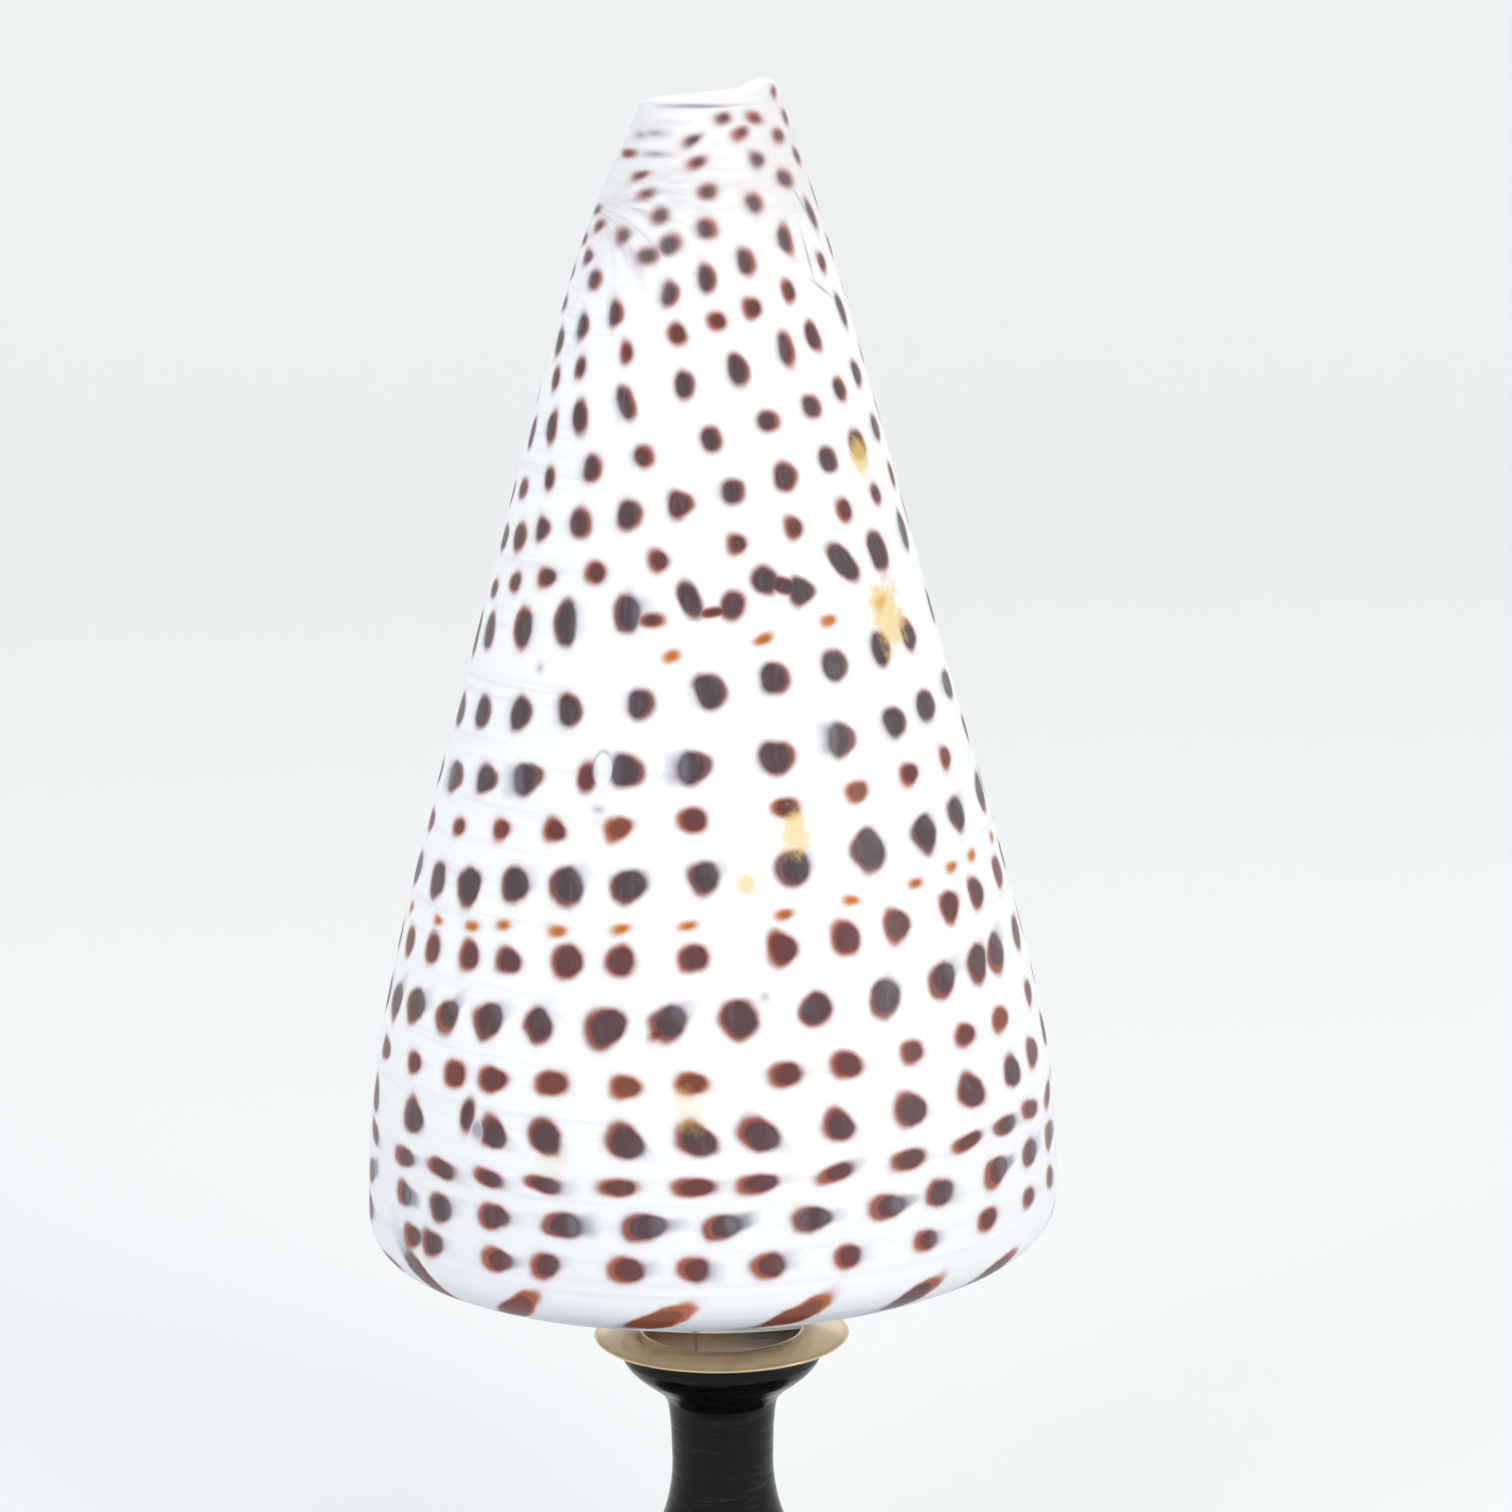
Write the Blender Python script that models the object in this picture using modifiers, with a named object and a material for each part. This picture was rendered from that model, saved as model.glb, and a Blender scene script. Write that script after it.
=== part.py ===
"""Cone shell standing on its spire, on a brass collar and a turned black pedestal.

Metres, +Z up. The origin is the centre of the pedestal's flat foot. The shell's
narrow front end points up. Its mouth faces +X +Y, away from an onlooker at -Y.
"""

import math

import bmesh
import bpy

MM = 0.001
TURN = 2.0 * math.pi

# Stand, heights from the surface that the foot rests on
COLLAR_Z = 41.0 * MM  # level of the collar's flat land
COLLAR_R = 13.2 * MM
COLLAR_THICK = 1.1 * MM  # below the land
LAND_R = 9.6 * MM
DIMPLE_DEPTH = 0.45 * MM  # seat for the shell's apex
FLANGE_R = 10.3 * MM
FLANGE_LOW = COLLAR_Z - 3.1 * MM
CUP_R = 6.6 * MM  # foot of the rounded cup under the flange
CUP_Z = COLLAR_Z - 6.6 * MM
NECK_R = 5.25 * MM
NECK_Z = COLLAR_Z - 14.0 * MM
COVE_R = 26.5 * MM  # where the neck's hollow sweep ends on the foot
COVE_Z = 7.0 * MM
FOOT_R = 31.0 * MM
FIT_GAP = 0.3 * MM  # clearance that neighbouring pieces keep
TURNED_STEPS = 48

# Shell, levels from the apex of the spire, which points down
APEX_X = -2.5 * MM  # the coiling axis stands left of the stand's and behind it
APEX_Y = 1.5 * MM
APEX_Z = COLLAR_Z + 0.1 * MM
LIP_AZIMUTH = math.radians(35.0)
STEPS = 54  # mesh steps in one turn
SPIRE_TURNS = 5
WHORL_RATIO = 1.3  # growth of the spire in one turn
SPIRE_SLOPE = math.radians(16.4)
SHOULDER_ROUND = 4.8 * MM
SHOULDER_STEPS = 4
BODY_LEVELS = 13
MOUTH_STEPS = 29  # how far the mouth's hollow is followed inwards
WALL_AT_LIP = 1.3 * MM
WALL = 2.3 * MM
WALL_TURN = 0.12  # growth angle over which the lip reaches its full thickness
DEEP_TURN = 0.35  # where the hollow begins to close
DEEP_SHARE = 0.85  # share of the hollow's width that is closed at its deep end
RIM_ROUND = 0.4 * MM
PILLAR_DIP = 2.5 * MM

# The ramp between two sutures: (share of its width, how far it stands out)
RAMP_RELIEF = ((0.28, -0.10 * MM), (0.62, 0.0), (0.88, 0.22 * MM))
SUTURE_DEPTH = 0.30 * MM
SUTURE_FADE = 6  # steps over which the groove starts behind the lip

# Half widths of the body about the coiling axis: (level, right side, left side)
BODY_SIDES = (
    (17.9 * MM, 37.30 * MM, 33.60 * MM),
    (29.9 * MM, 36.25 * MM, 32.30 * MM),
    (47.9 * MM, 32.05 * MM, 28.30 * MM),
    (71.9 * MM, 25.30 * MM, 21.70 * MM),
    (95.9 * MM, 18.80 * MM, 15.05 * MM),
    (113.9 * MM, 13.65 * MM, 9.50 * MM),
    (125.9 * MM, 9.60 * MM, 3.80 * MM),
    (131.0 * MM, 7.90 * MM, 2.00 * MM),
)
RIGHT_TURN = -35.0 / 360.0
LEFT_TURN = -215.0 / 360.0
PILLAR_SHARE = 0.3  # least size of the pillar beside the mouth, as a share of the lip's radius

# Rim of the narrow front end: (turns back from the lip, level)
RIM = (
    (-1.60, 119.5 * MM),
    (-1.00, 122.3 * MM),
    (-0.80, 123.3 * MM),
    (-0.60, 125.3 * MM),
    (-0.35, 126.6 * MM),
    (-0.12, 127.8 * MM),
    (-0.04, 126.2 * MM),
    (0.00, 123.3 * MM),
)

SHELL_COLOUR = (0.86, 0.85, 0.84, 1.0)
BRASS_COLOUR = (0.79, 0.58, 0.30, 1.0)
EBONY_COLOUR = (0.012, 0.011, 0.011, 1.0)


def smooth_curve(rows, column, at):
    """Cubic through the rows' points, read at one place."""
    last = len(rows) - 1
    if at <= rows[0][0]:
        return rows[0][column]
    if at >= rows[last][0]:
        return rows[last][column]
    low = max(i for i in range(last) if rows[i][0] <= at)

    def slope(i):
        before = rows[max(i - 1, 0)]
        after = rows[min(i + 1, last)]
        return (after[column] - before[column]) / (after[0] - before[0])

    start = rows[low]
    end = rows[low + 1]
    span = end[0] - start[0]
    rise = end[column] - start[column]
    u = (at - start[0]) / span
    bend_in = slope(low) * span - rise
    bend_out = rise - slope(low + 1) * span
    return start[column] + rise * u + u * (1.0 - u) * (bend_in * (1.0 - u) + bend_out * u)


def body_radius(turn, level):
    """Distance from the coiling axis to the outside of the body.

    It grows evenly over the last whorl and by a constant ratio before that.
    """
    right = smooth_curve(BODY_SIDES, 1, level)
    left = smooth_curve(BODY_SIDES, 2, level)
    growth = (right - left) / (RIGHT_TURN - LEFT_TURN)
    if turn >= LEFT_TURN:
        return right + growth * (turn - RIGHT_TURN)
    at_lip = right - growth * RIGHT_TURN
    whorl_before = max(at_lip - growth, PILLAR_SHARE * at_lip)
    if turn >= -1.0:
        return whorl_before + (left - whorl_before) * (turn + 1.0) / (LEFT_TURN + 1.0)
    return whorl_before * (at_lip / whorl_before) ** (turn + 1.0)


def corner_radius(turn):
    """Where the lines of the ramp and the body would meet at the shoulder."""
    widest = BODY_SIDES[0][0]
    if turn >= -1.0:
        return body_radius(turn, widest)
    return body_radius(-1.0, widest) * WHORL_RATIO ** (turn + 1.0)


def shoulder_profile(turn):
    """Radii and levels round the shoulder, from the ramp to the upright side."""
    corner = corner_radius(turn)
    bend = SHOULDER_ROUND * min(1.0, corner / corner_radius(-1.0))
    reach = bend * math.tan((0.5 * math.pi - SPIRE_SLOPE) / 2.0)
    centre = (corner - bend, corner * math.tan(SPIRE_SLOPE) + reach)
    points = []
    for step in range(SHOULDER_STEPS + 1):
        angle = (SPIRE_SLOPE - 0.5 * math.pi) * (1.0 - step / SHOULDER_STEPS)
        radius = centre[0] + bend * math.cos(angle)
        points.append((radius, centre[1] + bend * math.sin(angle)))
    return points


def place(turn, radius, level):
    """A point at a growth angle, a distance from the coiling axis and a level."""
    angle = LIP_AZIMUTH + TURN * turn
    x = APEX_X + radius * math.cos(angle)
    y = APEX_Y + radius * math.sin(angle)
    return (x, y, APEX_Z + level)


def wall_radius(turn, level):
    """Inner face of the outer wall: thin at the lip, closing in at the deep end."""
    outside = body_radius(turn, level)
    hollow = outside - body_radius(turn - 1.0, level)
    thick = WALL_AT_LIP + (WALL - WALL_AT_LIP) * min(-turn / WALL_TURN, 1.0)
    thick = min(thick, 0.4 * hollow)
    deep = max(-turn - DEEP_TURN, 0.0) / (MOUTH_STEPS / STEPS - DEEP_TURN)
    closing = DEEP_SHARE * deep * deep * (3.0 - 2.0 * deep)
    return outside - thick - (hollow - thick) * closing


class ShellMesh:
    """The shell's faces, built whorl by whorl from shared points."""

    def __init__(self):
        self.mesh = bmesh.new()
        self.points = {}

    def point(self, key, turn, radius, level):
        if key not in self.points:
            self.points[key] = self.mesh.verts.new(place(turn, radius, level))
        return self.points[key]

    def face(self, *corners):
        self.mesh.faces.new(corners)

    def strip(self, first, second):
        """Quads between two rows of as many points."""
        for i in range(len(first) - 1):
            self.face(first[i], first[i + 1], second[i + 1], second[i])

    def shoulder(self, step, k):
        """Point k round the shoulder; point 0 is where the next whorl's ramp meets it."""
        turn = step / STEPS
        radius, level = shoulder_profile(turn)[k]
        if k == 0 and step < -STEPS:
            level += SUTURE_DEPTH * min((-STEPS - step) / SUTURE_FADE, 1.0)
        return self.point(("shoulder", step, k), turn, radius, level)

    def ramp(self, step):
        """Points across the ramp, from the suture out to the shoulder."""
        turn = step / STEPS
        inner = shoulder_profile(turn - 1.0)[0][0]
        outer = shoulder_profile(turn)[0][0]
        relief = (outer - inner) / (WALL + SHOULDER_ROUND)
        row = [self.shoulder(step - STEPS, 0)]
        for k, (share, stand_out) in enumerate(RAMP_RELIEF):
            radius = inner + (outer - inner) * share
            level = radius * math.tan(SPIRE_SLOPE) - stand_out * relief
            row.append(self.point(("ramp", step, k), turn, radius, level))
        row.append(self.shoulder(step, 0))
        return row

    def side(self, step):
        """Points up the body, from the shoulder to the rim; they also line the hollow."""
        turn = step / STEPS
        start_r, start_h = shoulder_profile(turn)[-1]
        top = smooth_curve(RIM, 1, turn)
        blend_end = BODY_SIDES[1][0]
        column = [self.shoulder(step, SHOULDER_STEPS)]
        for j in range(1, BODY_LEVELS + 1):
            level = start_h + (top - start_h) * j / BODY_LEVELS
            radius = body_radius(turn, level)
            if level < blend_end:
                share = (level - start_h) / (blend_end - start_h)
                drop = start_r - body_radius(turn, blend_end)
                radius = start_r - drop * share * share
            column.append(self.point(("side", step, j), turn, radius, level))
        return column

    def lining(self, step):
        """Points up the inner face of the outer wall, from the hollow's floor."""
        turn = step / STEPS
        floor = shoulder_profile(turn - 1.0)[-1][1]
        top = smooth_curve(RIM, 1, turn) - RIM_ROUND
        column = []
        for j in range(BODY_LEVELS + 1):
            level = floor + (top - floor) * j / BODY_LEVELS
            key = ("lining", step, j)
            column.append(self.point(key, turn, wall_radius(turn, level), level))
        return column

    def spire(self):
        first = -(1 + SPIRE_TURNS) * STEPS
        for step in range(first + STEPS, 0):
            self.strip(self.ramp(step), self.ramp(step + 1))
        apex = self.point("apex", 0.0, 0.0, 0.0)
        loop = [self.shoulder(step, 0) for step in range(first, first + STEPS + 1)]
        loop += self.ramp(first + STEPS)[-2:0:-1]
        for i in range(len(loop)):
            self.face(apex, loop[i], loop[(i + 1) % len(loop)])

    def body(self):
        for step in range(-STEPS, 0):
            for k in range(SHOULDER_STEPS):
                near = (self.shoulder(step, k), self.shoulder(step, k + 1))
                far = (self.shoulder(step + 1, k), self.shoulder(step + 1, k + 1))
                self.face(near[0], near[1], far[1], far[0])
        for step in range(-STEPS - MOUTH_STEPS, 0):
            self.strip(self.side(step), self.side(step + 1))

    def mouth(self):
        for step in range(-MOUTH_STEPS, 0):
            self.strip(self.lining(step), self.lining(step + 1))
            floor = (self.lining(step)[0], self.lining(step + 1)[0])
            pillar = (self.side(step - STEPS)[0], self.side(step + 1 - STEPS)[0])
            self.face(floor[0], floor[1], pillar[1], pillar[0])
        self.strip(self.lining(-MOUTH_STEPS), self.side(-MOUTH_STEPS - STEPS))
        self.strip(self.side(0), self.lining(0))
        step_face = self.ramp(0)
        step_face += [self.shoulder(0, k) for k in range(1, SHOULDER_STEPS + 1)]
        step_face.append(self.lining(0)[0])
        step_face += [self.shoulder(-STEPS, k) for k in range(SHOULDER_STEPS, 0, -1)]
        self.face(*step_face)

    def front_end(self):
        for step in range(-MOUTH_STEPS, 0):
            outer = (self.side(step)[-1], self.side(step + 1)[-1])
            inner = (self.lining(step)[-1], self.lining(step + 1)[-1])
            self.face(outer[0], outer[1], inner[1], inner[0])
        loop = [self.side(step)[-1] for step in range(-STEPS, -MOUTH_STEPS + 1)]
        loop.append(self.lining(-MOUTH_STEPS)[-1])
        loop += [self.side(step)[-1] for step in range(-STEPS - MOUTH_STEPS, -STEPS)]
        level = smooth_curve(RIM, 1, -1.6) - PILLAR_DIP
        pillar = self.point("pillar", 0.0, 0.0, level)
        for i in range(len(loop)):
            self.face(pillar, loop[i], loop[(i + 1) % len(loop)])

    def finished(self, name):
        bmesh.ops.recalc_face_normals(self.mesh, faces=self.mesh.faces[:])
        data = bpy.data.meshes.new(name)
        self.mesh.to_mesh(data)
        self.mesh.free()
        data.shade_smooth()
        return data


def remove_everything():
    for obj in list(bpy.data.objects):
        bpy.data.objects.remove(obj)


def new_collection(name):
    group = bpy.data.collections.new(name)
    bpy.context.scene.collection.children.link(group)
    return group


def material(name, colour, roughness, metallic=0.0):
    made = bpy.data.materials.new(name)
    made.use_nodes = True
    shader = made.node_tree.nodes["Principled BSDF"]
    shader.inputs["Base Color"].default_value = colour
    shader.inputs["Roughness"].default_value = roughness
    shader.inputs["Metallic"].default_value = metallic
    return made


def put(name, data, group, finish=None):
    obj = bpy.data.objects.new(name, data)
    group.objects.link(obj)
    if finish is not None:
        data.materials.append(finish)
    return obj


def turned(name, outline, group, finish):
    """A profile of (radius, height) from the top down its outside, spun about Z."""
    data = bpy.data.meshes.new(name)
    edges = [(i, i + 1) for i in range(len(outline) - 1)]
    data.from_pydata([(radius, 0.0, height) for radius, height in outline], edges, [])
    obj = put(name, data, group, finish)
    spin = obj.modifiers.new("Spin", "SCREW")
    spin.steps = TURNED_STEPS
    spin.render_steps = TURNED_STEPS
    spin.use_merge_vertices = True
    spin.merge_threshold = 0.00001
    return obj


def arc(centre, across, up, start, end, count):
    """Points on an ellipse's arc, angles in degrees from +X towards +Z."""
    points = []
    for i in range(count + 1):
        angle = math.radians(start + (end - start) * i / count)
        points.append((centre[0] + across * math.cos(angle), centre[1] + up * math.sin(angle)))
    return points


def make_collar(group, cutters):
    """Thin disc with a low crowned rim round a flat land, and a dimple for the apex."""
    crown = 0.38 * MM
    edge = 0.25 * MM
    crown_r = 0.5 * (LAND_R + COLLAR_R)
    half = COLLAR_R - crown_r
    outline = [(0.0, COLLAR_Z)]
    outline += arc((crown_r, COLLAR_Z - 0.1 * crown), half, crown, 172.0, 12.0, 7)
    outline.append((COLLAR_R, COLLAR_Z - edge))
    outline.append((COLLAR_R, COLLAR_Z - 0.6 * MM))
    outline.append((COLLAR_R - edge, COLLAR_Z - 0.85 * MM))
    outline.append((FLANGE_R + 0.5 * MM, COLLAR_Z - COLLAR_THICK))
    outline.append((0.0, COLLAR_Z - COLLAR_THICK))
    brass = material("brass", BRASS_COLOUR, 0.18, 1.0)
    collar = turned("brass_collar", outline, group, brass)
    depth = 2.0 * DIMPLE_DEPTH
    data = bpy.data.meshes.new("apex_dimple")
    tool = bmesh.new()
    bmesh.ops.create_cone(
        tool,
        cap_ends=True,
        segments=TURNED_STEPS // 2,
        radius1=0.0,
        radius2=depth / math.tan(SPIRE_SLOPE),
        depth=depth,
    )
    tool.to_mesh(data)
    tool.free()
    dimple = put("apex_dimple", data, cutters)
    dimple.location = (APEX_X, APEX_Y, COLLAR_Z)
    dimple.hide_render = True
    dimple.display_type = "WIRE"
    cut = collar.modifiers.new("Dimple", "BOOLEAN")
    cut.operation = "DIFFERENCE"
    cut.object = dimple
    return collar


def make_pedestal(group):
    """Flange, rounded cup, neck and spreading foot, turned in one piece."""
    top = COLLAR_Z - COLLAR_THICK - FIT_GAP
    edge = 0.4 * MM
    outline = [(0.0, top)]
    outline += arc((FLANGE_R - edge, top - edge), edge, edge, 90.0, 0.0, 2)
    outline.append((FLANGE_R, FLANGE_LOW + 0.5 * edge))
    outline.append((FLANGE_R - 0.5 * edge, FLANGE_LOW))
    cup_drop = FLANGE_LOW - CUP_Z
    outline += arc((CUP_R - edge, FLANGE_LOW), FLANGE_R - CUP_R, cup_drop, -18.0, -72.0, 3)
    outline.append((CUP_R - edge, CUP_Z))
    shank = NECK_R + 0.45 * MM
    outline.append((shank, CUP_Z - 1.6 * MM))
    outline.append((NECK_R + 0.1 * MM, NECK_Z + 3.4 * MM))
    sweep = 9
    outline += arc((COVE_R, NECK_Z), COVE_R - NECK_R, NECK_Z - COVE_Z, 180.0, 266.0, sweep)
    outline.append((COVE_R + 0.5 * MM, COVE_Z))
    ovolo = 3.2 * MM
    outline.append((FOOT_R - ovolo, COVE_Z - 0.6 * MM))
    outline += arc((FOOT_R - ovolo, COVE_Z - 0.9 * MM - ovolo), ovolo, ovolo, 65.0, 0.0, 3)
    outline.append((FOOT_R, 2.0 * edge))
    outline.append((FOOT_R - 2.0 * edge, 0.0))
    outline.append((0.0, 0.0))
    ebony = material("black_lacquered_wood", EBONY_COLOUR, 0.16)
    return turned("black_pedestal", outline, group, ebony)


def make_shell(group):
    builder = ShellMesh()
    builder.spire()
    builder.body()
    builder.mouth()
    builder.front_end()
    porcelain = material("shell_porcelain", SHELL_COLOUR, 0.22)
    return put("cone_shell", builder.finished("cone_shell"), group, porcelain)


def main():
    remove_everything()
    parts = new_collection("mounted_cone_shell")
    cutters = new_collection("cutters")
    make_shell(parts)
    make_collar(parts, cutters)
    make_pedestal(parts)


main()
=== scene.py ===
"""Cone shell on a brass collar and a turned black pedestal: shapes, finishes, light and camera.

Metres, +Z up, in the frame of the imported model: the origin is the centre of the pedestal's
flat foot. The shell stands on its spire. A place on the shell is given by its growth angle
in turns (0 at the lip, falling backwards in time) and by its level over the spire's apex.
"""

import logging
import math
from dataclasses import dataclass, field, replace
from enum import Enum

import bpy
import numpy as np
from mathutils import Matrix, Vector


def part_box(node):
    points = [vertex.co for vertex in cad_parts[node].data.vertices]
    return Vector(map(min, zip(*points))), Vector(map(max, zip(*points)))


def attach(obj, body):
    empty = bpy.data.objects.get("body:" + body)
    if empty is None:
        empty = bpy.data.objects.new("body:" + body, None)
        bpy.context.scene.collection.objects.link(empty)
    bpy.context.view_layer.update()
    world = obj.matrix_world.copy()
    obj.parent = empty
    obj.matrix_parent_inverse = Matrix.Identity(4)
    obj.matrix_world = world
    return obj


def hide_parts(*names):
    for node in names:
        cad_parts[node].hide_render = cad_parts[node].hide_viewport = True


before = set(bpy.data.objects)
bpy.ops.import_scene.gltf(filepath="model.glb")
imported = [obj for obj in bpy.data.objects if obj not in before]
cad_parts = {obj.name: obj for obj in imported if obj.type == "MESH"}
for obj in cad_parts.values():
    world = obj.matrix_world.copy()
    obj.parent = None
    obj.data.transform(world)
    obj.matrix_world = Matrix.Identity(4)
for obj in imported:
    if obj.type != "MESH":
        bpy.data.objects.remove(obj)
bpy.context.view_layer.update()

MM = 0.001
TURN = 2.0 * math.pi
Value = bpy.types.NodeSocket | float | tuple
log = logging.getLogger("cone_shell_scene")


# Curves and meshes


def smooth_curve(at: np.ndarray, places: tuple, values: tuple) -> np.ndarray:
    """Cubic through (place, value) points; its slope at a point is that between its neighbours.

    With u from 0 to 1 between two points, value = start + rise u
    + u (1 - u) (bend_in (1 - u) + bend_out u); it stays level beyond the ends.

    Args:
        at: where the curve is read.
        places: rising places of the points.
        values: values at those places.

    Returns:
        The curve's values, in the shape of at.
    """
    p = np.asarray(places, float)
    v = np.asarray(values, float)
    before = np.maximum(np.arange(len(p)) - 1, 0)
    after = np.minimum(np.arange(len(p)) + 1, len(p) - 1)
    slopes = (v[after] - v[before]) / (p[after] - p[before])
    where = np.clip(at, p[0], p[-1])
    low = np.clip(np.searchsorted(p, where, side="right") - 1, 0, len(p) - 2)
    span = p[low + 1] - p[low]
    rise = v[low + 1] - v[low]
    u = (where - p[low]) / span
    bend_in = slopes[low] * span - rise
    bend_out = rise - slopes[low + 1] * span
    return v[low] + rise * u + u * (1.0 - u) * (bend_in * (1.0 - u) + bend_out * u)


def smooth_step(value: np.ndarray, low: float, high: float) -> np.ndarray:
    """3u^2 - 2u^3, with u the value's share of the way from low to high."""
    u = np.clip((value - low) / (high - low), 0.0, 1.0)
    return u * u * (3.0 - 2.0 * u)


def arc(centre: tuple, across: float, up: float, start: float, end: float, count: int) -> np.ndarray:
    """Points on an ellipse's arc: centre + (across cos a, up sin a).

    Args:
        centre: radius and height of the ellipse's centre.
        across: half width.
        up: half height.
        start: first angle in degrees, from +X towards +Z.
        end: last angle in degrees.
        count: number of steps.

    Returns:
        An array of count + 1 rows of radius and height.
    """
    angle = np.radians(np.linspace(start, end, count + 1))
    return np.stack([centre[0] + across * np.cos(angle), centre[1] + up * np.sin(angle)], -1)


class GridMesh:
    """Grids of points that share their borders, gathered into one mesh of quads."""

    def __init__(self) -> None:
        """Starts with no points and no faces."""
        self.points: list[np.ndarray] = []
        self.count = 0
        self.corners: list[np.ndarray] = []
        self.growth: list[np.ndarray] = []

    def add(self, points: np.ndarray) -> np.ndarray:
        """Adds points and returns their numbers, in the points' own grid shape."""
        shape = points.shape[:-1]
        size = int(np.prod(shape))
        self.points.append(points.reshape(-1, 3))
        numbers = np.arange(self.count, self.count + size).reshape(shape)
        self.count += size
        return numbers

    def sheet(self, numbers: np.ndarray, growth: np.ndarray, turned_over: bool = False) -> None:
        """Adds a quad for each cell of a grid of point numbers.

        Args:
            numbers: grid of point numbers; the normal is first axis x second axis.
            growth: growth angle, level along the profile and paint share at each grid point.
            turned_over: whether the faces look the other way.
        """
        order = ((0, 0), (1, 0), (1, 1), (0, 1))
        if turned_over:
            order = ((0, 0), (0, 1), (1, 1), (1, 0))
        rows, columns = numbers.shape
        picks = [(slice(a, rows - 1 + a), slice(b, columns - 1 + b)) for a, b in order]
        self.corners.append(np.stack([numbers[p] for p in picks], -1).reshape(-1, 4))
        self.growth.append(np.stack([growth[p] for p in picks], -2).reshape(-1, 4, 3))

    def gathered(self) -> tuple[np.ndarray, np.ndarray, np.ndarray]:
        """Returns all points, the faces' corner numbers and the corners' growth places."""
        return np.concatenate(self.points), np.concatenate(self.corners), np.concatenate(self.growth)


def quad_mesh(name: str, points: np.ndarray, corners: np.ndarray, layers: dict) -> bpy.types.Mesh:
    """Makes a mesh; a quad with two equal neighbouring corners becomes a triangle.

    Args:
        name: the mesh's name.
        points: n x 3 places.
        corners: m x 4 point numbers.
        layers: name of each vector layer and its m x 4 x 3 values at the faces' corners.

    Returns:
        The mesh, shaded smooth.
    """
    keep = corners != np.roll(corners, -1, axis=1)
    whole = keep.sum(1) >= 3
    keep = keep[whole]
    corners = corners[whole]
    totals = keep.sum(1)
    loops = corners[keep]
    mesh = bpy.data.meshes.new(name)
    mesh.vertices.add(len(points))
    mesh.vertices.foreach_set("co", points.astype(np.float32).ravel())
    mesh.loops.add(len(loops))
    mesh.loops.foreach_set("vertex_index", loops.astype(np.int32))
    mesh.polygons.add(len(totals))
    mesh.polygons.foreach_set("loop_start", (np.cumsum(totals) - totals).astype(np.int32))
    mesh.update(calc_edges=True)
    for layer, values in layers.items():
        made = mesh.attributes.new(layer, "FLOAT_VECTOR", "CORNER")
        made.data.foreach_set("vector", values[whole][keep].astype(np.float32).ravel())
    mesh.shade_smooth()
    return mesh


def turned_mesh(name: str, profile: np.ndarray, steps: int, open_top: bool = False) -> bpy.types.Mesh:
    """Spins a profile about Z: (r, z) goes to (r cos a, r sin a, z), closed at radius 0.

    Args:
        name: the mesh's name.
        profile: rows of radius and height, from the axis at the top down the outside.
        steps: number of steps in the turn.
        open_top: whether the first row is a free edge instead of a pole.

    Returns:
        The mesh, with its faces looking outwards.
    """
    angle = TURN * np.arange(steps) / steps
    ring = np.stack([np.cos(angle), np.sin(angle)], -1)
    inner = profile[0 if open_top else 1 : -1]
    flat = inner[:, None, :1] * ring[None]
    height = np.broadcast_to(inner[:, None, 1:], flat.shape[:2] + (1,))
    points = np.concatenate([flat, height], -1).reshape(-1, 3)
    ends = np.array([[0.0, 0.0, profile[0, 1]], [0.0, 0.0, profile[-1, 1]]])
    points = np.concatenate([points, ends])
    numbers = np.arange(len(inner) * steps).reshape(len(inner), steps)
    first = np.full((1, steps), len(inner) * steps)
    numbers = np.concatenate([numbers, first + 1] if open_top else [first, numbers, first + 1])
    numbers = np.concatenate([numbers, numbers[:, :1]], 1)
    cells = [numbers[:-1, :-1], numbers[1:, :-1], numbers[1:, 1:], numbers[:-1, 1:]]
    return quad_mesh(name, points, np.stack(cells, -1).reshape(-1, 4), {})


def piece(
    name: str, mesh: bpy.types.Mesh, finish: bpy.types.Material, node: str
) -> bpy.types.Object:
    """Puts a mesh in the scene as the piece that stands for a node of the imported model.

    Args:
        name: the piece's name.
        mesh: its mesh, already in place.
        finish: its material.
        node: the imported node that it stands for.

    Returns:
        The piece, riding on the part's one body.
    """
    made = bpy.data.objects.new(name, mesh)
    bpy.context.scene.collection.objects.link(made)
    mesh.materials.append(finish)
    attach(made, "root")
    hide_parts(node)
    return made


# Node graphs


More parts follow.
